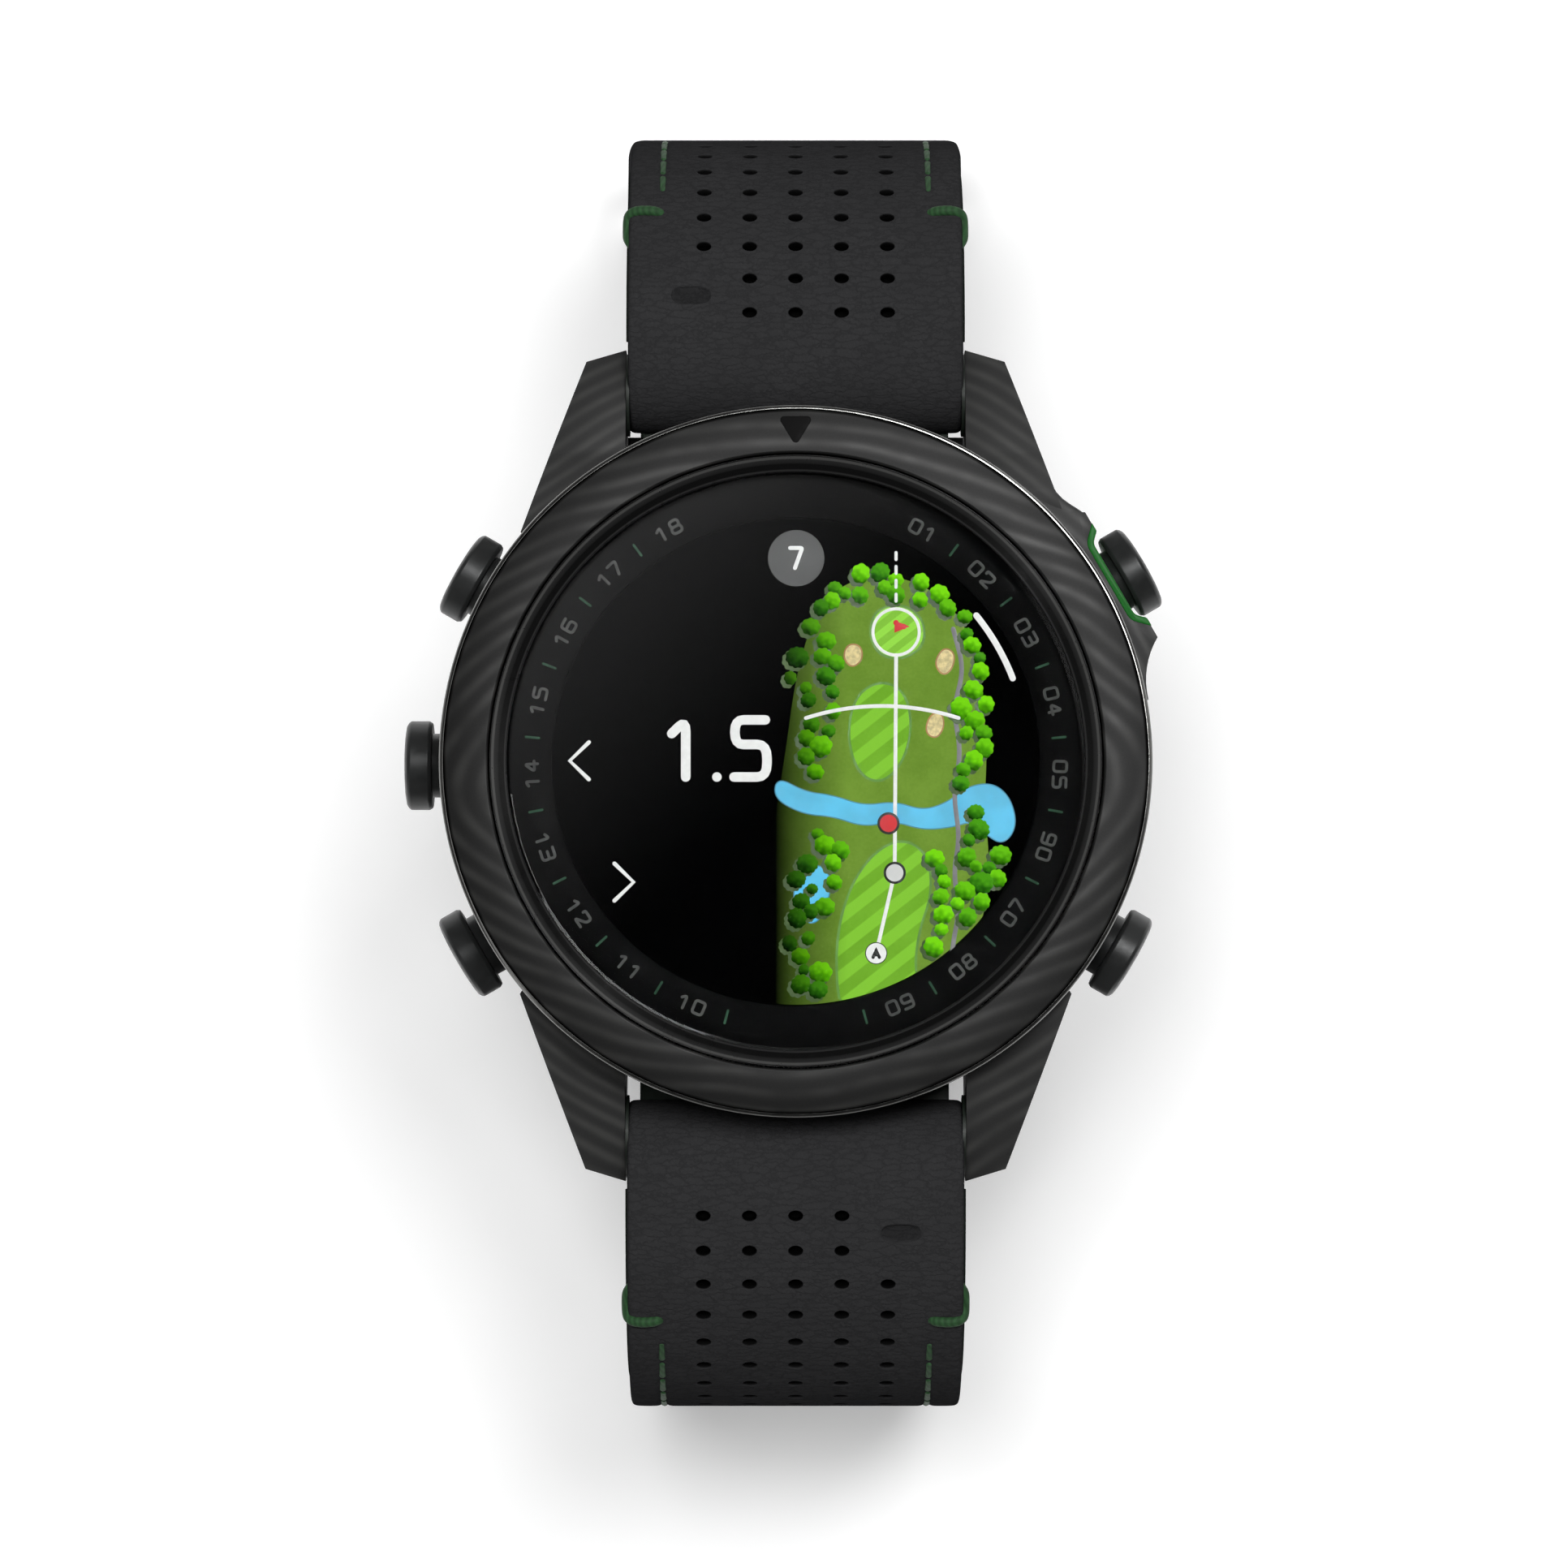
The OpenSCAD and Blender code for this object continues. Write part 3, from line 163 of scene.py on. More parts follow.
def turned(profile, steps=192, width=0.0, sharp=30):
    """Spins a closed outline of (radius, height) round Z and rounds its sharp corners."""
    bm = bmesh.new()
    points = [bm.verts.new((radius, 0, height)) for radius, height in profile]
    outline = [bm.edges.new(pair) for pair in zip(points, points[1:] + points[:1])]
    bmesh.ops.spin(
        bm, geom=points + outline, cent=(0, 0, 0), axis=(0, 0, 1),
        angle=math.tau, steps=steps, use_merge=True,
    )
    bmesh.ops.remove_doubles(bm, verts=bm.verts, dist=1e-5)
    bmesh.ops.dissolve_degenerate(bm, dist=1e-6, edges=bm.edges)
    bmesh.ops.recalc_face_normals(bm, faces=bm.faces)
    if width:
        ease_edges(bm, width, sharp)
    return bm


def node_copy(node, whole=True):
    """A merged copy of a CAD node's mesh, in millimetres, with its flat faces made whole if asked."""
    bm = bmesh.new()
    bm.from_mesh(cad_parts[node].data)
    bmesh.ops.scale(bm, vec=(1 / MM, 1 / MM, 1 / MM), verts=bm.verts)
    bmesh.ops.remove_doubles(bm, verts=bm.verts, dist=1e-4)
    if whole:
        bmesh.ops.dissolve_limit(bm, angle_limit=math.radians(0.3), verts=bm.verts, edges=bm.edges)
    return bm


def curve_mesh(paths, kind, order=4, **settings):
    """The mesh of curves along paths; a path that returns to its start is closed."""
    curve = bpy.data.curves.new("outline", "CURVE")
    for name, value in settings.items():
        setattr(curve, name, value)
    for path in paths:
        looped = path[0] == path[-1]
        points = path[:-1] if looped else path
        spline = curve.splines.new(kind)
        spline.points.add(len(points) - 1)
        spline.use_cyclic_u = looped
        spline.use_endpoint_u = not looped
        spline.order_u = order
        for point, place in zip(spline.points, points):
            point.co = (*Vector(place).to_3d(), 1)
    holder = bpy.data.objects.new("outline", curve)
    bm = bmesh.new()
    bm.from_mesh(holder.to_mesh())
    bpy.data.objects.remove(holder)
    bpy.data.curves.remove(curve)
    return bm


def turn_to_six(bm):
    """Turns a mesh made for the strap half at twelve o'clock to the other half's place."""
    bmesh.ops.rotate(bm, cent=(0, 0, 0), matrix=Matrix.Rotation(math.pi, 3, "Z"), verts=bm.verts)


def strap_point(across, along, depth):
    """A point on the strap: across it, along its outer face from the crest, and depth under that face."""
    if along < ROLL_AT:
        tilt = (along - ROLL_AT) / ROLL_R - ROLL_TURN
        reach = ROLL_R - depth
        return Vector((across, ROLL_Y + reach * math.sin(tilt), ROLL_Z + reach * math.cos(tilt)))
    if along < SHOULDER_L:
        tilt = along / SHOULDER_R
        reach = SHOULDER_R - depth
        return Vector((across, CREST_Y + reach * math.sin(tilt), ARC_Z + reach * math.cos(tilt)))
    along -= SHOULDER_L
    if along < SIDE_L:
        return Vector((across, STRAP_OUT - depth, ARC_Z - along))
    along -= SIDE_L
    if along < CORNER_L:
        tilt = along / CORNER_R
        reach = CORNER_R - depth
        return Vector((across, CORNER_Y + reach * math.cos(tilt), CORNER_R - reach * math.sin(tilt)))
    return Vector((across, CORNER_Y - (along - CORNER_L), depth))


def crest_length(y, depth=0.0):
    """Length along the strap, from its crest, to where a layer passes y near the case."""
    return SHOULDER_R * math.asin((y - CREST_Y) / (SHOULDER_R - depth))


def flat_length(y):
    """Length along the strap, from its crest, to y on the flat part under the wrist."""
    return FLAT_START + CORNER_Y - y


# Finishes

def srgb(red, green, blue):
    """Linear colour of an 8-bit display colour."""
    levels = [value / 255 for value in (red, green, blue)]
    linear = [level / 12.92 if level <= 0.04045 else ((level + 0.055) / 1.055) ** 2.4 for level in levels]
    return linear + [1.0]


def scaled(color, factor):
    """An 8-bit colour, lighter or darker."""
    return [min(255, value * factor) for value in color]


class Signal:
    """A value in a finish's node tree; arithmetic on it adds nodes to the tree."""

    def __init__(self, finish, socket):
        self.finish = finish
        self.socket = socket

    def apply(self, operation, other=0.0):
        """One sum of this value and another."""
        return add_node(self.finish, "Math", 0, {0: self, 1: other}, operation=operation)

    def __add__(self, other):
        return self.apply("ADD", other)

    def __mul__(self, other):
        return self.apply("MULTIPLY", other)

    def __pow__(self, other):
        return self.apply("POWER", other)

    def level(self, low, high, from_low=0.0, from_high=1.0, curve="LINEAR"):
        """This value, mapped from one range to another."""
        return add_node(self.finish, "MapRange", "Result", {
            "Value": self, "From Min": from_low, "From Max": from_high, "To Min": low, "To Max": high,
        }, interpolation_type=curve)

    def bands(self, stops):
        """Colours along this value, as (place, 8-bit colour)."""
        colors = add_node(self.finish, "ValToRGB", "Color", {"Fac": self})
        elements = colors.socket.node.color_ramp.elements
        while len(elements) < len(stops):
            elements.new(1.0)
        for element, (position, color) in zip(elements, stops):
            element.position = position
            element.color = srgb(*color)
        return colors


def plug(value, target):
    """Sets a socket to a value, or links a signal to it."""
    if isinstance(value, Signal):
        value.finish.node_tree.links.new(value.socket, target)
    else:
        target.default_value = value


def add_node(finish, kind, output, inputs=None, **settings):
    """Adds a shader node, fed with values or signals, and returns one of its outputs."""
    node = finish.node_tree.nodes.new("ShaderNode" + kind)
    for name, value in settings.items():
        setattr(node, name, value)
    for socket, value in (inputs or {}).items():
        plug(value, node.inputs[socket])
    return Signal(finish, node.outputs[output])


def feed(shader, **sources):
    """Sets or links the shader's sockets."""
    for socket, value in sources.items():
        plug(value, shader.inputs[socket.replace("_", " ")])


def new_finish(name, color, roughness, metallic=0.0, **sockets):
    """A material with its even values on the shader; returns the material and the shader."""
    finish = bpy.data.materials.new(name)
    finish.use_nodes = True
    shader = finish.node_tree.nodes["Principled BSDF"]
    feed(shader, Base_Color=srgb(*color), Roughness=roughness, Metallic=metallic, **sockets)
    return finish, shader


def place_mm(finish, stretch=(1, 1, 1), turn=0):
    """Object coordinates in millimetres, turned about Z and stretched."""
    return add_node(finish, "Mapping", "Vector", {
        "Vector": add_node(finish, "TexCoord", "Object"),
        "Rotation": (0, 0, math.radians(turn)),
        "Scale": [factor / MM for factor in stretch],
    })


def vector_math(operation, first, second=(0, 0, 0), output="Vector"):
    """One sum of two vectors."""
    return add_node(first.finish, "VectorMath", output, {0: first, 1: second}, operation=operation)


def split(vector):
    """The X, Y and Z of a vector."""
    first = add_node(vector.finish, "SeparateXYZ", "X", {"Vector": vector})
    return [Signal(vector.finish, socket) for socket in first.socket.node.outputs]


def grain(place, scale, detail=3.0, output="Fac"):
    """Noise between 0 and 1, with about scale grains to the millimetre."""
    inputs = {"Vector": place, "Scale": scale, "Detail": detail}
    return add_node(place.finish, "TexNoise", output, inputs)


def cells(place, scale, feature="DISTANCE_TO_EDGE"):
    """Distance inside the cells of a pebbled skin."""
    inputs = {"Vector": place, "Scale": scale}
    return add_node(place.finish, "TexVoronoi", "Distance", inputs, feature=feature)


def blend(amount, first, second):
    """A colour between two colours."""
    factor, color_a, color_b, color_out = 0, 6, 7, 2  # places of a mix node's sockets
    inputs = {factor: amount, color_a: first, color_b: second}
    return add_node(amount.finish, "Mix", color_out, inputs, data_type="RGBA")


def emboss(shader, height, depth):
    """Bumps a surface by a height between 0 and 1, depth millimetres high."""
    bumps = add_node(height.finish, "Bump", "Normal", {"Height": height, "Distance": depth * MM})
    feed(shader, Normal=bumps)


def mottled(
    name, color, roughness, metallic, grains, tones, glosses,
    edge=0.3, depth=0.0, along=(1, 1, 1), **sockets,
):
    """A finish whose grains vary in colour, gloss and, if it has a depth, in height."""
    finish, shader = new_finish(name, color, roughness, metallic, **sockets)
    spots = grain(place_mm(finish, along), *grains)
    low, high = (scaled(color, tone) for tone in tones)
    rough = [min(1.0, roughness * gloss) for gloss in glosses]
    feed(
        shader,
        Base_Color=spots.bands([(edge, low), (1 - edge, high)]),
        Roughness=spots.level(*rough, 0.3, 0.7),
    )
    if depth:
        emboss(shader, spots, depth)
    return finish


def speckled(name, color, roughness, metallic=0.0, spread=0.15, scale=4.0, depth=0.004, **sockets):
    """A plain finish with fine mottling."""
    tones = (1 - spread, 1 + spread)
    glosses = (0.85, 1.15)
    return mottled(name, color, roughness, metallic, (scale, 4.0), tones, glosses, depth=depth, **sockets)


def brushed(name, color, roughness, along, depth=0.003):
    """Metal with fine brush lines; along gives the stretch of the lines in X, Y and Z."""
    return mottled(name, color, roughness, 1.0, (6.0, 2.0), (0.88, 1), (0.8, 1.25), depth=depth, along=along)


def polished(name, color, roughness, metallic=1.0, **sockets):
    """Polished metal with a breath of haze in its gloss."""
    return mottled(name, color, roughness, metallic, (1.6, 4.0), (0.94, 1), (0.85, 1.2), 0.35, **sockets)


def layered_carbon(name, dark, light, far, period):
    """Pressed carbon: fine arcs across the dial that bend down both ways from twelve and up from six."""
    finish, shader = new_finish(name, dark, 0.46, Specular_IOR_Level=0.4)
    place = place_mm(finish)
    sway = grain(place, 0.07, 1.0, "Color")
    bent = vector_math("ADD", place, vector_math("MULTIPLY", sway, (2.4, 2.4, 1.2)))
    across, along, height = split(bent)
    rise = (along ** 2.0 + 9.0).apply("SQRT")
    spread = add_node(finish, "CombineXYZ", "Vector", {"X": across, "Y": rise + far})
    turns = (vector_math("LENGTH", spread, output="Value") + height * 0.55) * (math.tau / period)
    arcs = turns.apply("SINE").level(0.0, 1.0, -1.0, 1.0) ** 1.6
    patches = grain(place, 0.3, 2.0).level(0.25, 1.0, 0.3, 0.7)
    shade = arcs * patches + grain(place, 10.0, 2.0) * 0.3
    feed(
        shader,
        Base_Color=shade.bands([(0.08, dark), (1.0, light)]),
        Roughness=shade.level(0.54, 0.42, 0.1, 1.0),
    )
    emboss(shader, shade, 0.008)
    return finish


def pebbled_leather(name, color, deep, size, depth, roughness):
    """Leather with creased pebbles of about size millimetres and pores; its hollows get painted shade."""
    finish, shader = new_finish(name, color, roughness, Specular_IOR_Level=0.0)
    place = place_mm(finish)
    drift = vector_math("MULTIPLY", grain(place, 1.1 / size, output="Color"), (size * 1.5,) * 3)
    warped = vector_math("ADD", place, drift)
    drawn = vector_math("MULTIPLY", warped, (0.3, 1.0, 1.0))
    pebbles = cells(warped, 1 / size).level(0.0, 1.0, 0.0, 0.32)
    creases = cells(drawn, 0.66 / size).level(0.0, 1.0, 0.0, 0.13)
    skin = pebbles * 0.36 + creases * 0.64
    height = skin + grain(place, 7.0) * 0.35
    tone = grain(place, 0.22).bands([(0.35, color), (0.7, scaled(color, 1.06))])
    hollow = add_node(finish, "Attribute", "Fac", attribute_name="hollow")
    feed(
        shader,
        # painted shade: points marked in the hollows are blended towards near black (7, 7, 7)
        Base_Color=blend(hollow, blend(skin, srgb(*deep), tone), srgb(7, 7, 7)),
        Roughness=height.level(min(1.0, roughness + 0.15), roughness - 0.07),
    )
    emboss(shader, height, depth)
    return finish


def waxed_thread(name, color):
    """Twisted polyester thread."""
    finish, shader = new_finish(name, color, 0.6, Specular_IOR_Level=0.2)
    strands = add_node(finish, "TexWave", "Fac", {
        "Vector": place_mm(finish, turn=40), "Scale": 1.1, "Distortion": 0.8, "Detail": 1.0,
    }, wave_type="BANDS", bands_direction="DIAGONAL")
    shade = strands * grain(place_mm(finish), 6.0)
    feed(shader, Base_Color=shade.bands([(0.05, scaled(color, 0.88)), (0.5, scaled(color, 1.1))]))
    emboss(shader, strands, 0.01)
    return finish


def painted_reflection_rings(name, stops, reach, roughness, metallic):
    """Metal whose colour changes in rings round the dial, with painted highlights and shade standing for the
    reflections on a ring's lip and bevel; stops give radius in millimetres and colour.
    """
    finish, shader = new_finish(name, stops[0][1], roughness, metallic)
    radius = vector_math("LENGTH", place_mm(finish, (1, 1, 0)), output="Value")
    rings = [((stop - reach[0]) / (reach[1] - reach[0]), color) for stop, color in stops]
    haze = grain(place_mm(finish), 1.6)
    feed(
        shader,
        Base_Color=radius.level(0.0, 1.0, *reach).bands(rings),
        Roughness=haze.level(roughness * 0.85, roughness * 1.2, 0.3, 0.7),
    )
    return finish


def clear_glass(name, ior, tint):
    """Coated glass with a low reflection."""
    finish, shader = new_finish(name, tint, 0.015, Transmission_Weight=1.0, IOR=ior)
    feed(shader, Roughness=grain(place_mm(finish), 0.3).level(0.008, 0.022, 0.3, 0.7))
    return finish


UNLIT = (6, 6, 6)  # the display's own colour, under its light


def lit_print(name, color, spread=0.06, scale=0.8):
    """A lit area of the display, with a faint grain of pixels."""
    finish, shader = new_finish(name, UNLIT, 0.4, Emission_Strength=1.0)
    tones = [(0.35, scaled(color, 1 - spread)), (0.65, scaled(color, 1 + spread))]
    feed(shader, Emission_Color=grain(place_mm(finish), scale, 2.0).bands(tones))
    return finish


carbon = layered_carbon("carbon", (5, 5, 5), (37, 37, 36), 18.0, 1.05)
case_carbon = layered_carbon("case_carbon", (35, 35, 35), (56, 56, 55), 4.0, 0.85)
green_metal = speckled("green_metal", (30, 96, 36), 0.44, 0.0, 0.08, 9.0, 0.002, Specular_IOR_Level=0.2)
bright_metal = polished("bright_metal", (168, 168, 165), 0.16)
bezel_metal = polished("bezel_metal", (74, 74, 73), 0.13)
# the rim is a lighter copy of the bezel's metal: partly its own polish, partly a painted highlight along the
# bezel's top edge
rim_highlight_metal = polished("rim_highlight_metal", (126, 126, 124), 0.18)
cap_metal = polished("cap_metal", (48, 49, 49), 0.36, 0.5)
black_metal = polished("black_metal", (44, 46, 45), 0.2)
pip_black = speckled("pip_black", (14, 14, 14), 0.6, Specular_IOR_Level=0.1)
spring_steel = brushed("spring_steel", (178, 178, 176), 0.28, (1, 1, 6))
# painted reflections on the lens ring: light rings stand for the lip's highlight, black rings for the bevel's
# shade
lens_ring_painted_reflections = painted_reflection_rings("lens_ring_painted_reflections", [
    (18.68, (12, 12, 12)), (18.73, (44, 44, 44)), (18.8, (44, 44, 44)), (18.84, (6, 6, 6)),
    (19.16, (6, 6, 6)), (19.2, (27, 27, 27)), (19.44, (40, 40, 40)), (19.49, (78, 78, 77)),
    (19.6, (74, 74, 73)), (19.66, (7, 7, 7)),
], (18.6, 19.8), 0.3, 0.4)
lens_glass = clear_glass("lens_glass", 1.25, (250, 252, 252))
seal_rubber = speckled("seal_rubber", (26, 26, 27), 0.75)
ring_print = speckled("ring_print", (5, 5, 5), 0.6, 0.0, 0.2, 2.0, 0.002, Specular_IOR_Level=0.1)
display_black = speckled("display_black", (4, 4, 5), 0.6, 0.0, 0.2, 2.0, 0.001, Specular_IOR_Level=0.0)
ribbon = speckled("ribbon", (122, 76, 34), 0.4)
dark_plastic = speckled("dark_plastic", (34, 34, 35), 0.5)
antenna_tape = speckled("antenna_tape", (196, 168, 112), 0.35, 0.7)
board_green = speckled("board_green", (22, 62, 40), 0.45, 0.0, 0.2, 2.0)
tin_metal = brushed("tin_metal", (186, 186, 182), 0.3, (6, 1, 1))
battery_foil = brushed("battery_foil", (150, 152, 156), 0.34, (1, 6, 1), 0.006)
cover_metal = brushed("cover_metal", (118, 118, 116), 0.36, (5, 1, 1))
sensor_glass = polished("sensor_glass", (7, 7, 9), 0.08, 0.0, Coat_Weight=1.0)
gold = polished("gold", (214, 168, 88), 0.2)
leather = pebbled_leather("leather", (47, 47, 48), (40, 40, 41), 0.28, 0.03, 0.5)
lining = pebbled_leather("lining", (34, 39, 35), (22, 26, 23), 0.22, 0.03, 0.62)
thread = waxed_thread("thread", (40, 70, 42))
block_plastic = speckled("block_plastic", (25, 31, 26), 0.5)
digit_print = speckled("digit_print", (108, 108, 106), 0.6, 0.0, 0.1, 3.0, 0.001)
tick_print = speckled("tick_print", (58, 108, 78), 0.6, 0.0, 0.1, 3.0, 0.001)


def paint(finish, *nodes):
    """Gives a finish to CAD nodes that keep their own shape."""
    for node in nodes:
        for material_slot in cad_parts[node].material_slots:
            material_slot.material = finish


paint(spring_steel, "bezel_wire", "bezel_click_spring", *(f"button_{name}_clip" for name in BUTTON_ANGLES))
paint(seal_rubber, "lens_gasket", "rear_gasket", "button_seals")
paint(ribbon, "display_flex")
paint(display_black, "display_panel")
paint(dark_plastic, "inner_frame", "tact_switches", "charge_insulator")
paint(antenna_tape, "gps_antenna")
paint(board_green, "main_board", "sensor_board")
paint(tin_metal, "shield_can", "vibration_motor")
paint(battery_foil, "battery")
paint(sensor_glass, "sensor_window")
paint(gold, "charge_contacts")
paint(bright_metal, "rear_screws", "lug_bars", "strap_12_latch", "strap_6_latch", "buckle_bar")
paint(black_metal, "lug_screws")


# Case and bezel

KEEPER_HALF = 11.36  # half the opening of a keeper
KEEPER_SKIVED = 0.45  # share of a keeper's side that is left when it is skived
BLOCK_NARROW = 0.925  # the end blocks stand back from the lugs


def thin_sides(keeper):
    """Skives the sides of a leather keeper, which stay within its solid."""
    for point in keeper.verts:
        over = abs(point.co.x) - KEEPER_HALF
        if over > 0:
            point.co.x = math.copysign(KEEPER_HALF + over * KEEPER_SKIVED, point.co.x)


EASED_NODES = [
    ("mid_case", "case", "carbon", case_carbon, 0.22),
    ("button_guard", "case", "green_metal", green_metal, 0.1),
    ("rear_cover", "case", "cover_metal", cover_metal, 0.2),
    ("strap_12_end_block", "strap_12", "block", block_plastic, 0.25),
    ("strap_6_end_block", "strap_6", "block", block_plastic, 0.25),
    ("buckle_frame", "buckle", "black_metal", black_metal, 0.4),
    ("buckle_tang", "tang", "black_metal", black_metal, 0.2),
    ("fixed_keeper", "strap_12", "leather", leather, 0.14),
    ("sliding_keeper", "keeper", "leather", leather, 0.14),
]
PIERCED_NODES = ["rear_cover", "strap_12_end_block", "strap_6_end_block", "buckle_frame"]
for node_name, body, slot_name, node_finish, ease in EASED_NODES:
    eased = node_copy(node_name, node_name not in PIERCED_NODES)
    if slot_name == "leather":
        thin_sides(eased)
    if slot_name == "block":
        bmesh.ops.scale(eased, vec=(BLOCK_NARROW, 1, 1), verts=eased.verts)
    ease_edges(eased, ease)
    finish_piece(eased, node_name + "_eased", body, node_finish, [node_name])

RIM_W = 0.26
RIM_H = 0.3
RIM_LOW = RIM_TOP - RIM_H
RIM_IN = BEZEL_R - RIM_W
CARRIER_EDGE = 0.4
bezel_carrier = turned([
    (BEZEL_IN, BEZEL_LOW), (BEZEL_R - CARRIER_EDGE, BEZEL_LOW), (BEZEL_R, BEZEL_LOW + CARRIER_EDGE),
    (BEZEL_R, RIM_LOW), (RIM_IN, RIM_LOW), (RIM_IN, INLAY_LOW), (BEZEL_IN, INLAY_LOW),
], 256, 0.05)
finish_piece(bezel_carrier, "bezel_carrier", "bezel", bezel_metal, ["bezel_ring"])
bezel_rim = turned([
    (RIM_IN, RIM_LOW), (BEZEL_R, RIM_LOW), (BEZEL_R, RIM_TOP - 0.2), (BEZEL_R - 0.03, RIM_TOP - 0.11),
    (BEZEL_R - 0.09, RIM_TOP - 0.04), (BEZEL_R - 0.17, RIM_TOP), (RIM_IN, RIM_TOP),
], 256)
finish_piece(bezel_rim, "bezel_rim", "bezel", rim_highlight_metal)

INLAY_EDGE = 0.12
INLAY_FALL = RIM_TOP - 0.04  # the inlay slopes down to just under the rim
bezel_inlay = turned([
    (BEZEL_IN, INLAY_LOW), (INLAY_R, INLAY_LOW), (INLAY_R, INLAY_FALL - INLAY_EDGE),
    (INLAY_R - INLAY_EDGE, INLAY_FALL), (BEZEL_IN + INLAY_EDGE, TOP), (BEZEL_IN, TOP - INLAY_EDGE),
], 256, 0.05)
finish_piece(bezel_inlay, "carbon_inlay", "bezel", carbon, ["bezel_inlay"])

pip = node_copy("bezel_pip")
ease_edges(pip, 0.03)
finish_piece(pip, "bezel_pointer", "bezel", pip_black, ["bezel_pip"])

BEVEL_R = LENS_RING_R - 0.46
BEVEL_DROP = 0.3
RING_IN = LENS_R + 0.03
lens_ring = turned([
    (RING_IN, LENS_RING_LOW), (LENS_RING_R, LENS_RING_LOW), (LENS_RING_R, LENS_RING_TOP - 0.06),
    (LENS_RING_R - 0.06, LENS_RING_TOP), (BEVEL_R, LENS_RING_TOP - BEVEL_DROP), (RING_IN, LENS_TOP),
], 256, 0.03, 15)
finish_piece(lens_ring, "lens_ring_polished", "case", lens_ring_painted_reflections, ["lens_ring"])

LENS_EDGE = 0.15
watch_glass = turned([
    (0, LENS_LOW), (LENS_R, LENS_LOW), (LENS_R, LENS_TOP - LENS_EDGE), (LENS_R - LENS_EDGE, LENS_TOP),
    (0, LENS_TOP),
], 192)
finish_piece(watch_glass, "watch_glass", "case", lens_glass, ["lens"])


# Buttons: turned along Z, then laid on their axes

HEAD_T = 1.86
HEAD_EDGE = 0.2
HEAD_FOOT = 0.22  # the rounding at the head's inner edge
DOME_RISE = 0.25
DOME_SHARE = 0.94  # share of the head's radius that is domed
NECK_R = 2.1
NECK_IN = 22.0
STEM_R = 0.8
STEM_IN = corners("button_up")[1].x


def button_profile(push):
    """Outline of a button from its domed face in to its stem, along the axis from the dial's centre."""
    radius = BUTTON_HEAD_R
    face = BUTTON_OUT + push
    rim = face - DOME_RISE
    low = face - HEAD_T
    dome = [
        (radius * math.sin(turn) * DOME_SHARE, rim + DOME_RISE * math.cos(turn))
        for turn in (math.radians(angle) for angle in range(0, 91, 18))
    ]
    return dome + [
        (radius - 0.12, rim - 0.03), (radius, rim - HEAD_EDGE), (radius, rim - HEAD_EDGE - 0.08),
        (radius, low + HEAD_FOOT + 0.08), (radius, low + HEAD_FOOT), (radius - 0.14, low),
        (NECK_R, low), (NECK_R, NECK_IN), (STEM_R, NECK_IN), (STEM_R, -STEM_IN), (0, -STEM_IN),
    ]


for button_name, angle in BUTTON_ANGLES.items():
    push = START_OUT if button_name == "start" else 0.0
    button = turned(button_profile(push), 96, 0.04, 25)
    lay = Matrix.Rotation(math.radians(angle), 4, "Z") @ Matrix.Rotation(math.radians(90), 4, "Y")
    bmesh.ops.transform(button, matrix=Matrix.Translation((0, 0, BUTTON_Z)) @ lay, verts=button.verts)
    body = f"{button_name}_button"
    finish_piece(button, body + "_cap", body, cap_metal, [f"button_{button_name}"])


# Springs behind the caps, each with a mesh of its own

for button_name, angle in BUTTON_ANGLES.items():
    spring_node = f"button_{button_name}_spring"
    spring = node_copy(spring_node)
    axis = Vector((math.cos(math.radians(angle)), math.sin(math.radians(angle)), 0))
    reach = [axis.dot(point.co) for point in spring.verts]
    foot = axis * min(reach) + Vector((0, 0, BUTTON_Z))
    coil = finish_piece(
        spring, f"{button_name}_button_spring", "case", spring_steel, [spring_node],
    )
    foot * MM
    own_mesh(coil)


# Web between the upper right lug and the guarded button, and ledges that close the upper slot's corners

WEB_Z = (38.2, CASE_TOP_Z - 0.02)
WEB = [
    (16.0, 19.3), (16.27, 19.1), (16.47, 18.66), (16.68, 18.18), (16.97, 17.66), (17.38, 17.22),
    (17.84, 16.88), (18.34, 16.56), (18.79, 16.24), (18.55, 15.9), (16.6, 15.9), (15.6, 18.6),
]
LUG_CROWN_START = 14.0
LUG_CROWN_R = 30.0
web = bmesh.new()
foot = web.faces.new([web.verts.new((x, y, WEB_Z[0])) for x, y in WEB])
raised = bmesh.ops.extrude_face_region(web, geom=[foot])["geom"]
for point in raised:
    if isinstance(point, bmesh.types.BMVert):
        point.co.z = WEB_Z[1] - max(point.co.y - LUG_CROWN_START, 0) ** 2 / (2 * LUG_CROWN_R)
bmesh.ops.recalc_face_normals(web, faces=web.faces)
ease_edges(web, 0.2)
finish_piece(web, "guard_web", "case", case_carbon)

LEDGE = Vector((1.7, 1.6, 0.6))
LEDGE_AT = Vector((10.5, 21.2, 37.4))
ledges = bmesh.new()
for side in (-1, 1):
    made = bmesh.ops.create_cube(ledges, size=1.0)
    bmesh.ops.scale(ledges, vec=LEDGE, verts=made["verts"])
    bmesh.ops.translate(ledges, vec=(side * LEDGE_AT.x, *LEDGE_AT.yz), verts=made["verts"])
finish_piece(ledges, "slot_ledges", "case", case_carbon)


# Strap: each layer is a flat sheet, worked flat and then wrapped on the strap's loop

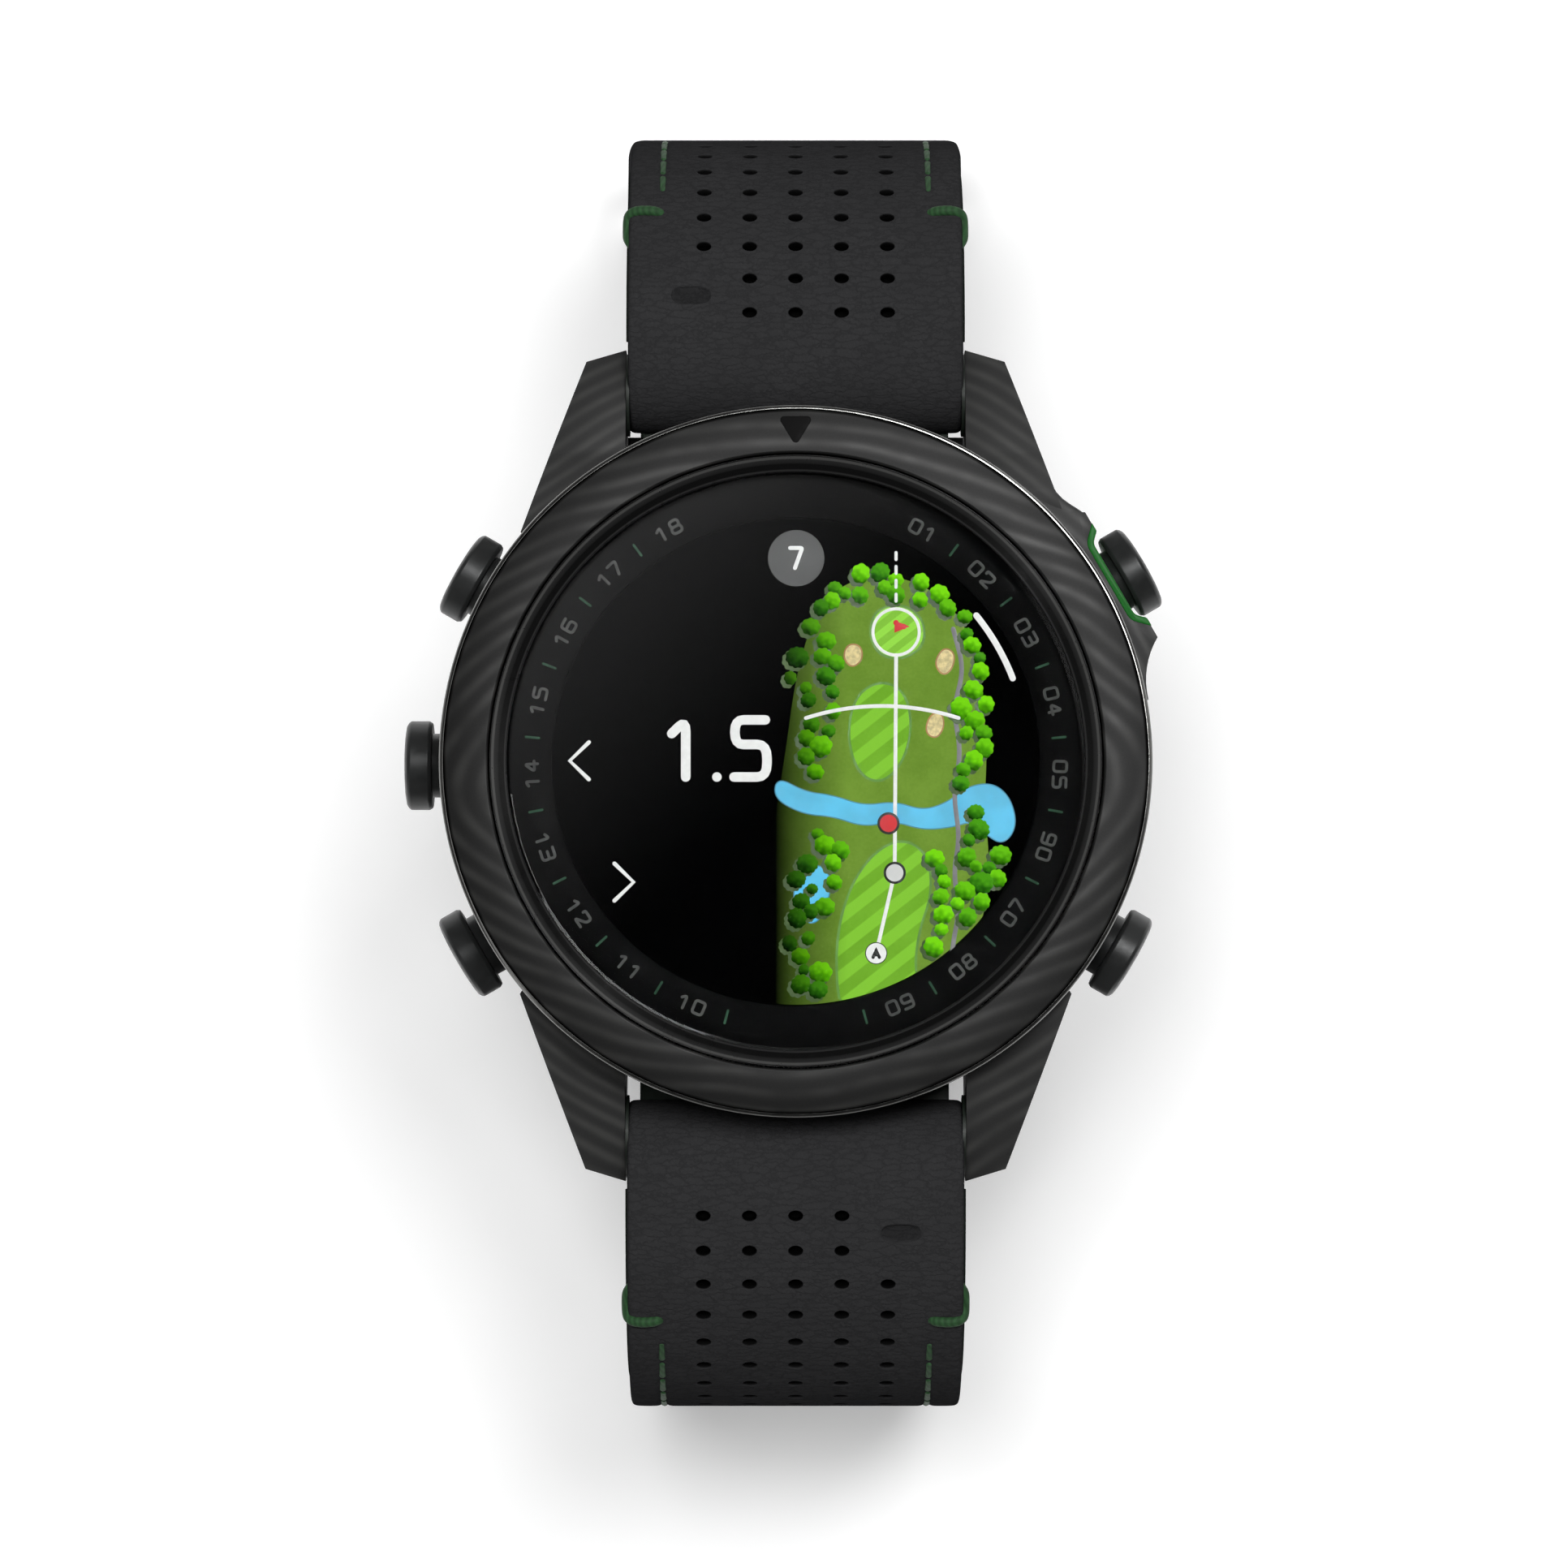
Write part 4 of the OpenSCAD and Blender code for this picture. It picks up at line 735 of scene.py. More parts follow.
ROW = PERF_ROW / 3  # three rows of mesh to a row of perforations
PERF_OVAL = 0.76  # length of a perforation against its width
PERF_DEPTH = 1.15
HOLE_LIP = 0.1
TAIL_LENGTH = flat_length(TAIL_END_Y)
TAIL_ROUND = 8.0
TAIL_HOLE_D = 2.0
TAIL_HOLES = [21.0, 15.0, 9.0, 3.0, -3.0]
TAIL_ROW = 0.75
BUCKLE_LENGTH = flat_length(BUCKLE_END_Y)
NOTCH_W = 3.0
NOTCH_START = BUCKLE_LENGTH - 3.8
END_LOOP = 0.15  # the first and last rows of mesh stand this close
LEATHER_START = ROLL_AT - ROLL_R * (math.pi / 2 - ROLL_TURN)
LINING_START = crest_length(LINING_START_Y, LEATHER_T)
LAYER_GAP = 0.02  # between the leather and the lining
GROOVE_DEPTH = 0.24
GROOVE_START = STITCH_START - 1.3
GROOVE_FADE = 0.8  # length over which a stitch groove reaches its depth
MARK_COLUMNS = (-8.0, -7.0, -6.0)  # columns of mesh that are moved to the pressed bar
MARK_ACROSS = (-8.25, -6.85, -5.4)
MARK_HALF = 0.66

EDGE_ROUND = [(0.0, 0.5), (-0.06, 0.18), (-0.24, 0.04), (-0.6, 0.0)]  # inset and depth at a layer's edge
GROOVE_X = [STITCH_X + 0.75, STITCH_X + 0.32, STITCH_X, STITCH_X - 0.32]


def both_sides(left):
    """Places across a layer from its left half; the right half mirrors it."""
    return left + [0.0] + [-across for across in reversed(left)]


def edge_depth(across, half):
    """How far a layer's face has rounded down near its edge."""
    inset = abs(across) - half
    for (outer, deep), (inner, shallow) in zip(EDGE_ROUND, EDGE_ROUND[1:]):
        if inset >= inner - 1e-6:
            return deep + (shallow - deep) * (inset - outer) / (inner - outer)
    return 0.0


leather_columns = both_sides(
    [-STRAP_HALF - inset for inset, _ in EDGE_ROUND]
    + [-across for across in GROOVE_X]
    + [float(across) for across in range(-8, 0)]
)
lining_columns = both_sides(
    [-LINING_HALF - inset for inset, _ in EDGE_ROUND] + [float(across) for across in range(-10, 0)]
)


def strap_rows(start, end, tail):
    """Places of the mesh rows along a layer: on the perforations, and on the tail's holes."""
    first = math.ceil((start + 2 * END_LOOP - PERF_START) / ROW)
    last = end - 2 * END_LOOP
    stop = FLAT_START if tail else last
    rows = [PERF_START + step * ROW for step in range(first, math.floor((stop - PERF_START) / ROW) + 1)]
    if tail:
        hole = flat_length(TAIL_HOLES[0])
        rows += [hole + step * TAIL_ROW for step in range(-4, math.floor((last - hole) / TAIL_ROW) + 1)]
    return [start, start + END_LOOP] + rows + [end - END_LOOP, end]


def flat_layer(columns, rows, top, bottom):
    """Two sheets, one over the other, with points at (across, along, -depth), by column and row."""
    bm = bmesh.new()
    # a layer of painted shade for hollows, read by the leather's finish
    bm.verts.layers.float.new("hollow")
    half = -columns[0]
    squeeze = min(1.0, (bottom - top) / 2 / EDGE_ROUND[0][1])
    sheets = []
    for face_depth, inwards in ((top, 1), (bottom, -1)):
        made = bmesh.ops.create_grid(bm, x_segments=len(columns) - 1, y_segments=len(rows) - 1, size=1)
        grid = {}
        for point in made["verts"]:
            column = round((point.co.x + 1) / 2 * (len(columns) - 1))
            row = round((point.co.y + 1) / 2 * (len(rows) - 1))
            across = columns[column]
            depth = face_depth + inwards * squeeze * edge_depth(across, half)
            point.co = (across, rows[row], -depth)
            grid[column, row] = point
        sheets.append(grid)
    below = {face for point in sheets[1].values() for face in point.link_faces}
    bmesh.ops.reverse_faces(bm, faces=list(below))
    return bm, sheets


def nearest(values, wanted):
    """Index of the value nearest to the wanted one."""
    return min(range(len(values)), key=lambda index: abs(values[index] - wanted))


def round_hole(bm, grid, holes, radius, squeeze=1.0):
    """Turns grid points into round or oval hollows with a soft lip, and returns the faces in them."""
    rings = []
    for place in holes:
        centre = grid[place]
        ring = {point for face in centre.link_faces for point in face.verts} - {centre}
        middle = centre.co.copy()
        for point in ring:
            side = point.co - middle
            turn = math.atan2(sign(side.y), sign(side.x))
            point.co = middle + Vector((math.cos(turn), math.sin(turn) * squeeze, 0)) * (radius + HOLE_LIP)
        rings.append(ring)
    bmesh.ops.dissolve_verts(bm, verts=[grid[place] for place in holes])
    floors = [
        next(face for point in ring for face in point.link_faces if set(face.verts) == ring)
        for ring in rings
    ]
    for fall in (0.15, 0.85):
        bmesh.ops.inset_individual(bm, faces=floors, thickness=HOLE_LIP * 0.5, depth=-HOLE_LIP * fall)
    return floors


def sign(value):
    """-1, 0 or 1."""
    return (value > 1e-4) - (value < -1e-4)


def paint_shade(bm, faces, share):
    """Marks points that the leather's finish darkens with painted shade, as deep as share."""
    hollow = bm.verts.layers.float["hollow"]
    for face in faces:
        for point in face.verts:
            point[hollow] = share


def deepen(bm, floors, depth):
    """Sinks the floors of hollows straight down and marks them for painted shade."""
    paint_shade(bm, floors, 0.9)
    for share in (0.4, 0.6):
        bmesh.ops.inset_individual(bm, faces=floors, thickness=0.01, depth=-depth * share)
        paint_shade(bm, floors, 1.0)


def open_through(bm, upper, lower):
    """Joins hollows on the two faces of a layer into holes."""
    for top, bottom in zip(upper, lower):
        rims = list(top.edges) + list(bottom.edges)
        bmesh.ops.delete(bm, geom=[top, bottom], context="FACES_ONLY")
        bmesh.ops.bridge_loops(bm, edges=rims)


def press_mark(bm, grid, columns, rows):
    """Presses a short bar with round ends into the leather beside the first perforations."""
    middle = PERF_START + PERF_ROW / 2
    below = max(index for index, row in enumerate(rows) if row < middle)
    spots = [nearest(columns, across) for across in MARK_COLUMNS]
    for column, place in zip(spots, MARK_ACROSS):
        grid[column, below].co = (place, middle - MARK_HALF, 0)
        grid[column, below + 1].co = (place, middle + MARK_HALF, 0)
    inside = {grid[column, row] for column in spots for row in (below, below + 1)}
    bar = [face for face in bm.faces if set(face.verts) <= inside]
    for thickness, depth in ((0.08, -0.03), (0.06, -0.24)):
        bmesh.ops.inset_region(bm, faces=bar, thickness=thickness, depth=depth, use_even_offset=True)
    # painted shade in the pressed bar
    paint_shade(bm, bar, 0.35)


def tail_half(along):
    """Share of the strap's width that is left near the tail's round end."""
    past = TAIL_ROUND - (TAIL_LENGTH - along)
    if past <= 0:
        return 1.0
    return (STRAP_HALF - TAIL_ROUND + math.sqrt(max(TAIL_ROUND ** 2 - past ** 2, 0))) / STRAP_HALF


def wrap(bm, tail):
    """Bends a flat layer on to the strap's loop; the half with the tail is turned to six o'clock."""
    for point in bm.verts:
        across, along, height = point.co
        if tail:
            across *= tail_half(along)
        point.co = strap_point(across, along, -height)
    if tail:
        turn_to_six(bm)


def notch_end(bm, sheets, columns, rows):
    """Cuts the notch in which the buckle's tang swings."""
    middle = nearest(columns, 0.0)
    notch_rows = range(nearest(rows, NOTCH_START), len(rows))
    for grid in sheets:
        for row in notch_rows:
            grid[middle - 1, row].co.x = -NOTCH_W / 2
            grid[middle + 1, row].co.x = NOTCH_W / 2
        inside = {grid[middle + side, row] for side in (-1, 0, 1) for row in notch_rows}
        notch = [face for face in bm.faces if set(face.verts) <= inside]
        bmesh.ops.delete(bm, geom=notch, context="FACES")


def close_layer(bm, sheets, columns, rows, tail):
    """Cuts the tail's holes or the tang's notch, joins the sheets round their rim and wraps the layer."""
    if not tail:
        notch_end(bm, sheets, columns, rows)
    rims = [edge for edge in bm.edges if edge.is_boundary]
    if tail:
        spots = [(nearest(columns, 0.0), nearest(rows, flat_length(y))) for y in TAIL_HOLES]
        open_through(bm, *(round_hole(bm, grid, spots, TAIL_HOLE_D / 2) for grid in sheets))
    bmesh.ops.bridge_loops(bm, edges=rims)
    bmesh.ops.recalc_face_normals(bm, faces=bm.faces)
    wrap(bm, tail)


def leather_layer(end, tail):
    """The outer leather: perforated, pressed and grooved along its stitch lines."""
    rows = strap_rows(LEATHER_START, end, tail)
    columns = leather_columns
    bm, sheets = flat_layer(columns, rows, 0.0, LEATHER_T)
    face, back = sheets
    for (_, row), point in back.items():
        if rows[row] < LINING_START:
            point.co.z += LEATHER_T - SKIVE_T
    for side in (-STITCH_X, STITCH_X):
        column = nearest(columns, side)
        for row, along in enumerate(rows):
            share = min(max((along - GROOVE_START) / GROOVE_FADE, 0), 1)
            face[column, row].co.z -= GROOVE_DEPTH * share
    holes = [
        (nearest(columns, column * PERF_COL), nearest(rows, PERF_START + row * PERF_ROW))
        for row in range(PERF_ROWS) for column in range(-2, 3) if row > 1 or column > -2
    ]
    # the perforations' floors get painted shade
    deepen(bm, round_hole(bm, face, holes, PERF_D / 2, PERF_OVAL), PERF_DEPTH)
    press_mark(bm, face, columns, rows)
    close_layer(bm, sheets, columns, rows, tail)
    return bm


def lining_layer(end, tail):
    """The lining under the leather, a little wider than it."""
    rows = strap_rows(LINING_START, end, tail)
    bm, sheets = flat_layer(lining_columns, rows, LEATHER_T + LAYER_GAP, STRAP_T)
    close_layer(bm, sheets, lining_columns, rows, tail)
    return bm


STITCH_DIP = 0.14  # how far a stitch's ends are drawn in
STITCH_PROUD = 0.07


def stitch_rows(end, tail):
    """Two rows of short stitches, each bent down at its ends."""
    bm = bmesh.new()
    straight = (STITCH_L - THREAD_D) / 2
    count = math.floor((end - STITCH_START) / STITCH_PITCH) + 1
    for step in range(count):
        for side in (-STITCH_X, STITCH_X):
            along = STITCH_START + step * STITCH_PITCH
            made = bmesh.ops.create_uvsphere(bm, u_segments=10, v_segments=8, radius=THREAD_D / 2)
            for point in made["verts"]:
                across, up, reach = point.co
                reach += math.copysign(straight, reach)
                dip = STITCH_DIP * (2 * reach / STITCH_L) ** 4
                point.co = strap_point(side + across, along + reach, THREAD_D / 2 - STITCH_PROUD - up + dip)
    if tail:
        turn_to_six(bm)
    bmesh.ops.recalc_face_normals(bm, faces=bm.faces)
    return bm


BAR_STITCH_R = THREAD_D / 2 + 0.1
BAR_PATH = [
    (8.75, 0.0, 0.5), (8.9, 0.0, 0.02), (9.5, 0.02, -0.1), (10.3, 0.04, -0.1), (10.82, 0.0, 0.12),
    (10.98, -0.12, 0.5), (11.0, -0.55, 0.8), (11.0, -1.2, 0.85), (10.98, -1.8, 0.85), (10.7, -2.15, 0.9),
]  # across, along and depth


def bar_stitches(tail):
    """The thick stitch over each edge of the strap, laid across its face and back along its side."""
    paths = [
        [strap_point(side * across, BAR_STITCH_AT + along, depth) for across, along, depth in BAR_PATH]
        for side in (-1, 1)
    ]
    bm = curve_mesh(
        paths, "NURBS", dimensions="3D", bevel_depth=BAR_STITCH_R, bevel_resolution=3, resolution_u=5,
        use_fill_caps=True,
    )
    bmesh.ops.remove_doubles(bm, verts=bm.verts, dist=1e-4)
    if tail:
        turn_to_six(bm)
    bmesh.ops.recalc_face_normals(bm, faces=bm.faces)
    return bm


for half, end, tail in (("strap_12", BUCKLE_LENGTH, False), ("strap_6", TAIL_LENGTH, True)):
    skin = leather_layer(end, tail)
    refine(finish_piece(skin, half + "_outer", half, leather, [half + "_leather"], 60), 2)
    inner = lining_layer(end, tail)
    refine(finish_piece(inner, half + "_inner", half, lining, [half + "_lining"], 60), 1)
    stitches = stitch_rows(end - (TAIL_ROUND if tail else STRAP_T), tail)
    finish_piece(stitches, half + "_stitches", half, thread, [half + "_stitching"])
    finish_piece(bar_stitches(tail), half + "_bar_stitches", half, thread)

# Washers on the lug bars, between the strap and the lugs

WASHER_R = 2.7
WASHER_T = 0.2
WASHER_X = STRAP_HALF + 0.02
BAR_Y = STRAP_START_Y + 2.4
BAR_Z = sum(corner.z for corner in corners("lug_bars")) / 2
for half, side in (("strap_12", 1), ("strap_6", -1)):
    washers = bmesh.new()
    for end in (-1, 1):
        made = bmesh.ops.create_cone(
            washers, cap_ends=True, radius1=WASHER_R, radius2=WASHER_R, depth=WASHER_T, segments=48,
        )
        place = Matrix.Translation((end * WASHER_X, side * BAR_Y, BAR_Z))
        lay = place @ Matrix.Rotation(math.pi / 2, 4, "Y")
        bmesh.ops.transform(washers, matrix=lay, verts=made["verts"])
    finish_piece(washers, half + "_washers", half, block_plastic)


# Dial: a printed ring of hole numbers, and a lit picture under the glass

PRINT_GAP = 0.06  # room between the printed ring and the glass
PRINT_T = 0.02
LIT_R = PICTURE_R - 0.08
LAYER = 0.012
PICTURE_LOW = PANEL_TOP + 0.02
RING_TOP = DIAL_TOP - PRINT_GAP

dial_ring = turned([
    (PICTURE_R, DIAL_LOW), (DIAL_R, DIAL_LOW), (DIAL_R, RING_TOP), (PICTURE_R, RING_TOP),
], 192, 0.05)
finish_piece(dial_ring, "printed_ring", "case", ring_print, ["dial_ring"])

# Squared digits as strokes in a cell one high and 0.8 wide; a stroke that returns to its start is closed
DIGITS = {
    "0": [[(0, 0), (0.8, 0), (0.8, 1), (0, 1), (0, 0)]],
    "1": [[(0.12, 0.76), (0.46, 1), (0.46, 0)]],
    "2": [[(0, 0.8), (0, 1), (0.8, 1), (0.8, 0.56), (0, 0), (0.8, 0)]],
    "3": [[(0, 1), (0.8, 1), (0.8, 0.52), (0.2, 0.52)], [(0.55, 0.52), (0.8, 0.52), (0.8, 0), (0, 0)]],
    "4": [[(0.58, 0), (0.58, 1), (0, 0.26), (0.8, 0.26)]],
    "5": [[(0.76, 1), (0.02, 1), (0.02, 0.57), (0.8, 0.57), (0.8, 0), (0, 0)]],
    "6": [[(0.74, 1), (0, 1), (0, 0), (0.8, 0), (0.8, 0.56), (0, 0.56)]],
    "7": [[(0, 1), (0.8, 1), (0.32, 0)]],
    "8": [
        [(0, 0), (0.8, 0), (0.8, 0.51), (0, 0.51), (0, 0)],
        [(0.05, 0.51), (0.75, 0.51), (0.75, 1), (0.05, 1), (0.05, 0.51)],
    ],
    "9": [[(0.06, 0), (0.8, 0), (0.8, 1), (0, 1), (0, 0.44), (0.8, 0.44)]],
    ".": [[(0, 0), (0.001, 0)]],
}
DIGIT_W = 0.8
POINT_W = 0.0


def stroke_mesh(paths, width):
    """Flat strokes with round ends, from paths in the plane of the dial."""
    bm = curve_mesh(
        paths, "POLY", dimensions="3D", bevel_depth=width / 2, bevel_resolution=2, use_fill_caps=True,
    )
    for path in paths:
        for end in (path[0], path[-1]):
            cap = bmesh.ops.create_uvsphere(bm, u_segments=12, v_segments=6, radius=width / 2)
            bmesh.ops.translate(bm, vec=(*end, 0), verts=cap["verts"])
    bmesh.ops.scale(bm, vec=(1, 1, PRINT_T / width), verts=bm.verts)
    return bm


def round_corners(path, radius, steps=4):
    """A path with its corners replaced by short curves."""
    closed = path[0] == path[-1]
    points = [Vector(point) for point in (path[:-1] if closed else path)]
    count = len(points)
    smooth = []
    for index, point in enumerate(points):
        if not closed and index in (0, count - 1):
            smooth.append(point)
            continue
        before = points[index - 1] - point
        after = points[(index + 1) % count] - point
        reach = min(radius, before.length * 0.48, after.length * 0.48)
        first = point + before.normalized() * reach
        last = point + after.normalized() * reach
        for step in range(steps + 1):
            share = step / steps
            smooth.append(first * (1 - share) ** 2 + point * (2 * share * (1 - share)) + last * share ** 2)
    if closed:
        smooth.append(smooth[0])
    return [tuple(point) for point in smooth]


def number_paths(text, height, gap, narrow=1.0, round_by=0.24):
    """Strokes of a number, centred on the origin."""
    paths = []
    pen = 0.0
    for mark in text:
        for stroke in DIGITS[mark]:
            paths.append([(pen + x * narrow, y - 0.5) for x, y in round_corners(stroke, round_by)])
        pen += (POINT_W if mark == "." else DIGIT_W * narrow) + gap
    middle = (pen - gap) / 2
    return [[((x - middle) * height, y * height) for x, y in path] for path in paths]


def merge_into(bm, part, place=Matrix.Identity(4)):
    """Adds one bmesh to another, set at a place."""
    part.transform(place)
    mesh = bpy.data.meshes.new("part")
    part.to_mesh(mesh)
    part.free()
    bm.from_mesh(mesh)
    bpy.data.meshes.remove(mesh)


def on_dial(x, y, layer):
    """A place in the lit picture, some layers above the panel."""
    return Matrix.Translation((x, y, PICTURE_LOW + layer * LAYER))


NUMBER_R = 17.1
NUMBER_H = 0.84
NUMBER_LINE = 0.19
NUMBER_GAP = 0.42  # between two digits, in heights
NUMBER_FIRST = 28.8
NUMBER_STEP = 16.0
NUMBERS_A_SIDE = 9
FLIP_PAST = 100.0  # numbers on the lower half of the ring stand the other way up
TICK_L = 0.84
TICK_W = 0.16
PRINT_Z = RING_TOP + PRINT_T / 2


def on_ring(angle):
    """A place on the printed ring, by the angle from twelve o'clock."""
    return Matrix.Rotation(math.radians(-angle), 4, "Z") @ Matrix.Translation((0, NUMBER_R, PRINT_Z))


ring_numbers = bmesh.new()
ring_ticks = bmesh.new()
for step in range(NUMBERS_A_SIDE):
    for side in (1, -1):
        number = step + 1 if side > 0 else 2 * NUMBERS_A_SIDE - step
        angle = side * (NUMBER_FIRST + step * NUMBER_STEP)
        flip = Matrix.Rotation(math.pi if abs(angle) > FLIP_PAST else 0.0, 4, "Z")
        strokes = stroke_mesh(number_paths(f"{number:02d}", NUMBER_H, NUMBER_GAP), NUMBER_LINE)
        merge_into(ring_numbers, strokes, on_ring(angle) @ flip)
        tick_angle = side * (NUMBER_FIRST + (step + 0.5) * NUMBER_STEP)
        tick = stroke_mesh([[(0, -TICK_L / 2), (0, TICK_L / 2)]], TICK_W)
        merge_into(ring_ticks, tick, on_ring(tick_angle))
finish_piece(ring_numbers, "ring_numbers", "case", digit_print)
finish_piece(ring_ticks, "ring_ticks", "case", tick_print)


# Lit picture: a made-up hole, seen from above

def flat_shape(outline, layer, grow):
    """A filled soft outline in the lit picture, kept inside the ring."""
    closed = outline + outline[:1]
    bm = curve_mesh([closed], "NURBS", 3, dimensions="2D", fill_mode="BOTH", resolution_u=8, offset=grow)
    bmesh.ops.remove_doubles(bm, verts=bm.verts, dist=1e-4)
    for point in bm.verts:
        if point.co.xy.length > LIT_R:
            point.co.xy = point.co.xy.normalized() * LIT_R
    if bm.faces and sum(face.normal.z for face in bm.faces) < 0:
        bmesh.ops.reverse_faces(bm, faces=bm.faces)
    bm.transform(on_dial(0, 0, layer))
    return bm


def light_up(bm, name, finish):
    """Finishes one lit layer of the picture."""
    finish_piece(bm, "lit_" + name, "case", finish)


def fade_left(finish, color):
    """Dims a lit colour towards the numbers on the left."""
    share = split(place_mm(finish))[0].level(0.0, 1.0, -1.3, 3.4)
    return blend(share, (0, 0, 0, 1), color)


def lit_grass(name, color, patch, stripes=0.0):
    """Lit grass with soft patches, fine blades and mown stripes."""
    finish, shader = new_finish(name, UNLIT, 0.4, Emission_Strength=1.0, Specular_IOR_Level=0.0)
    place = place_mm(finish)
    blades = grain(place, 0.45, 4.0) * 0.7 + grain(place, 5.0, 2.0) * 0.3
    grass = blades.bands([(0.36, patch), (0.64, color)])
    if stripes:
        mown = add_node(finish, "TexWave", "Fac", {
            "Vector": place_mm(finish, turn=-38), "Scale": math.tau / 20 / stripes,
        }, wave_type="BANDS", bands_direction="Y")
        lighter = [min(255, value * 1.13 + 4) for value in color]
        grass = blend(mown.level(0.0, 1.0, 0.42, 0.58) * 0.75, grass, srgb(*lighter))
    feed(shader, Emission_Color=fade_left(finish, grass))
    return finish


def lit_trees(name):
    """Lit tree crowns: bright above, dark below, lobed, each with its own green."""
    finish, shader = new_finish(name, UNLIT, 0.4, Emission_Strength=1.0, Specular_IOR_Level=0.0)
    tint = add_node(finish, "Attribute", "Fac", attribute_name="tint")
    across, up, _ = split(add_node(finish, "UVMap", "UV", uv_map="crown"))
    lobes = cells(place_mm(finish), 3.4, "SMOOTH_F1")
    shade = up * 0.42 + across * 0.16 + (lobes * -0.45 + 0.62)
    bright = shade.bands([(0.0, (34, 88, 4)), (0.3, (84, 176, 8)), (0.62, (128, 228, 22))])
    deep = shade.bands([(0.0, (12, 50, 4)), (0.3, (40, 110, 14)), (0.62, (76, 160, 24))])
    feed(shader, Emission_Color=fade_left(finish, blend(tint, bright, deep)))
    return finish


ROUGH = [
    (1.2, 9.6), (3.0, 11.6), (6.2, 12.2), (9.2, 11.0), (11.2, 8.6), (12.0, 5.0), (12.4, 1.0), (12.2, -3.0),
    (12.6, -7.0), (12.0, -11.0), (9.5, -15.5), (4.0, -17.0), (-1.6, -17.0), (-2.0, -10.0), (-1.4, -4.0),
    (-0.6, 1.0), (0.0, 5.5),
]
FAIRWAYS = [
    [(3.0, -17.0), (2.6, -12.5), (3.2, -9.0), (4.6, -6.4), (6.6, -5.0), (8.4, -5.8), (8.8, -8.4),
     (7.8, -11.2), (7.6, -14.0), (8.8, -17.0)],
    [(4.0, -0.6), (3.4, 1.8), (3.9, 4.2), (5.4, 5.2), (7.0, 4.6), (7.5, 2.2), (6.8, -0.2), (5.4, -1.4)],
]
GREENS = [[(4.8, 8.2), (5.2, 9.8), (6.8, 10.2), (8.2, 9.3), (8.3, 7.6), (7.0, 6.7), (5.5, 6.9)]]
SAND = [
    [(9.0, 6.4), (9.6, 7.4), (10.3, 7.0), (10.1, 6.0), (9.5, 5.6)],
    [(3.1, 6.8), (3.4, 7.6), (4.2, 7.5), (4.3, 6.6), (3.6, 6.1)],
    [(8.4, 1.9), (8.7, 3.0), (9.4, 3.2), (9.6, 2.3), (9.1, 1.5)],
]
WATER = [
    [(-1.2, -1.0), (0.6, -2.0), (2.4, -2.2), (4.4, -2.9), (6.4, -2.6), (8.2, -3.2), (9.8, -2.7),
     (11.2, -1.6), (12.8, -1.4), (13.9, -2.4), (14.3, -4.2), (13.4, -5.4), (12.2, -4.6), (11.4, -3.8),
     (10.2, -4.2), (8.2, -4.4), (6.4, -3.8), (4.4, -4.2), (2.4, -3.5), (0.6, -3.4), (-1.4, -2.4)],
    [(0.4, -7.2), (1.6, -6.6), (2.3, -7.6), (2.0, -9.4), (1.2, -10.6), (0.2, -10.0), (-0.2, -8.4)],
]
CART_PATH = [
    (10.0, -15.0), (10.1, -12.0), (10.6, -9.6), (10.2, -7.2), (10.6, -5.0), (10.2, -2.0), (10.7, 0.6),
    (10.2, 3.4), (10.9, 6.0), (10.2, 8.6),
]
# Lines of trees: the line, how many stand along it, and how far they scatter
TREE_LINES = [
    ([(0.9, 8.6), (2.6, 11.0), (5.4, 11.9), (8.6, 11.2), (10.9, 9.0), (11.8, 6.2), (12.0, 3.0),
      (12.2, 0.0)], 105, 0.6),
    ([(12.6, -6.6), (12.5, -8.6), (11.9, -10.2)], 33, 0.55),
    ([(10.9, -1.0), (11.6, 1.6), (11.2, 4.0)], 28, 0.5),
    ([(0.4, 7.4), (0.7, 3.4), (0.9, 0.2), (1.6, -0.9)], 72, 0.75),
    ([(2.0, 7.9), (2.3, 4.6), (2.1, 1.2)], 33, 0.45),
    ([(0.8, -4.6), (2.4, -5.6), (3.0, -7.4)], 28, 0.5),
    ([(0.4, -11.6), (1.0, -13.4), (1.4, -14.6)], 52, 0.8),
    ([(0.2, -6.2), (0.9, -8.8), (0.2, -11.2)], 44, 0.7),
    ([(11.3, -3.8), (11.5, -7.2), (10.8, -10.6)], 40, 0.6),
    ([(9.4, -6.2), (9.5, -9.2), (9.2, -11.6)], 21, 0.4),
]


def along_path(path, share):
    """The point at a share of a path's length."""
    points = [Vector(point) for point in path]
    lengths = [(after - before).length for before, after in zip(points, points[1:])]
    left = share * sum(lengths)
    for before, after, length in zip(points, points[1:], lengths):
        if left <= length:
            return before.lerp(after, left / length)
        left -= length
    return points[-1]


noise.seed_set(5)
CROWDED = 0.78  # trees stand no closer than this share of their radii
CROWN_STEP = 0.02  # each crown lies this share of a layer over the one behind it


def tree_spots():
    """Places, sizes and tints of the trees, scattered beside their lines."""
    spots = []
    for path, count, spread in TREE_LINES:
        for index in range(count):
            seed = Vector((index * 1.37, len(spots) * 0.73, count * 0.11))
            jump = noise.noise_vector(seed * 3.1)
            point = along_path(path, (index + 0.5) / count) + jump.xy * spread * 2.0
            size = 0.6 + 0.36 * noise.noise(seed * 5.3)
            tint = 0.5 + noise.noise(seed * 7.7) * 2.2
            crowded = any((point - other).length < CROWDED * (size + width) for other, width, _, _ in spots)
            if point.length + size < LIT_R and not crowded:
                spots.append((point, size, min(max(tint, 0), 1), seed))
    return sorted(spots, key=lambda spot: -spot[0].y)


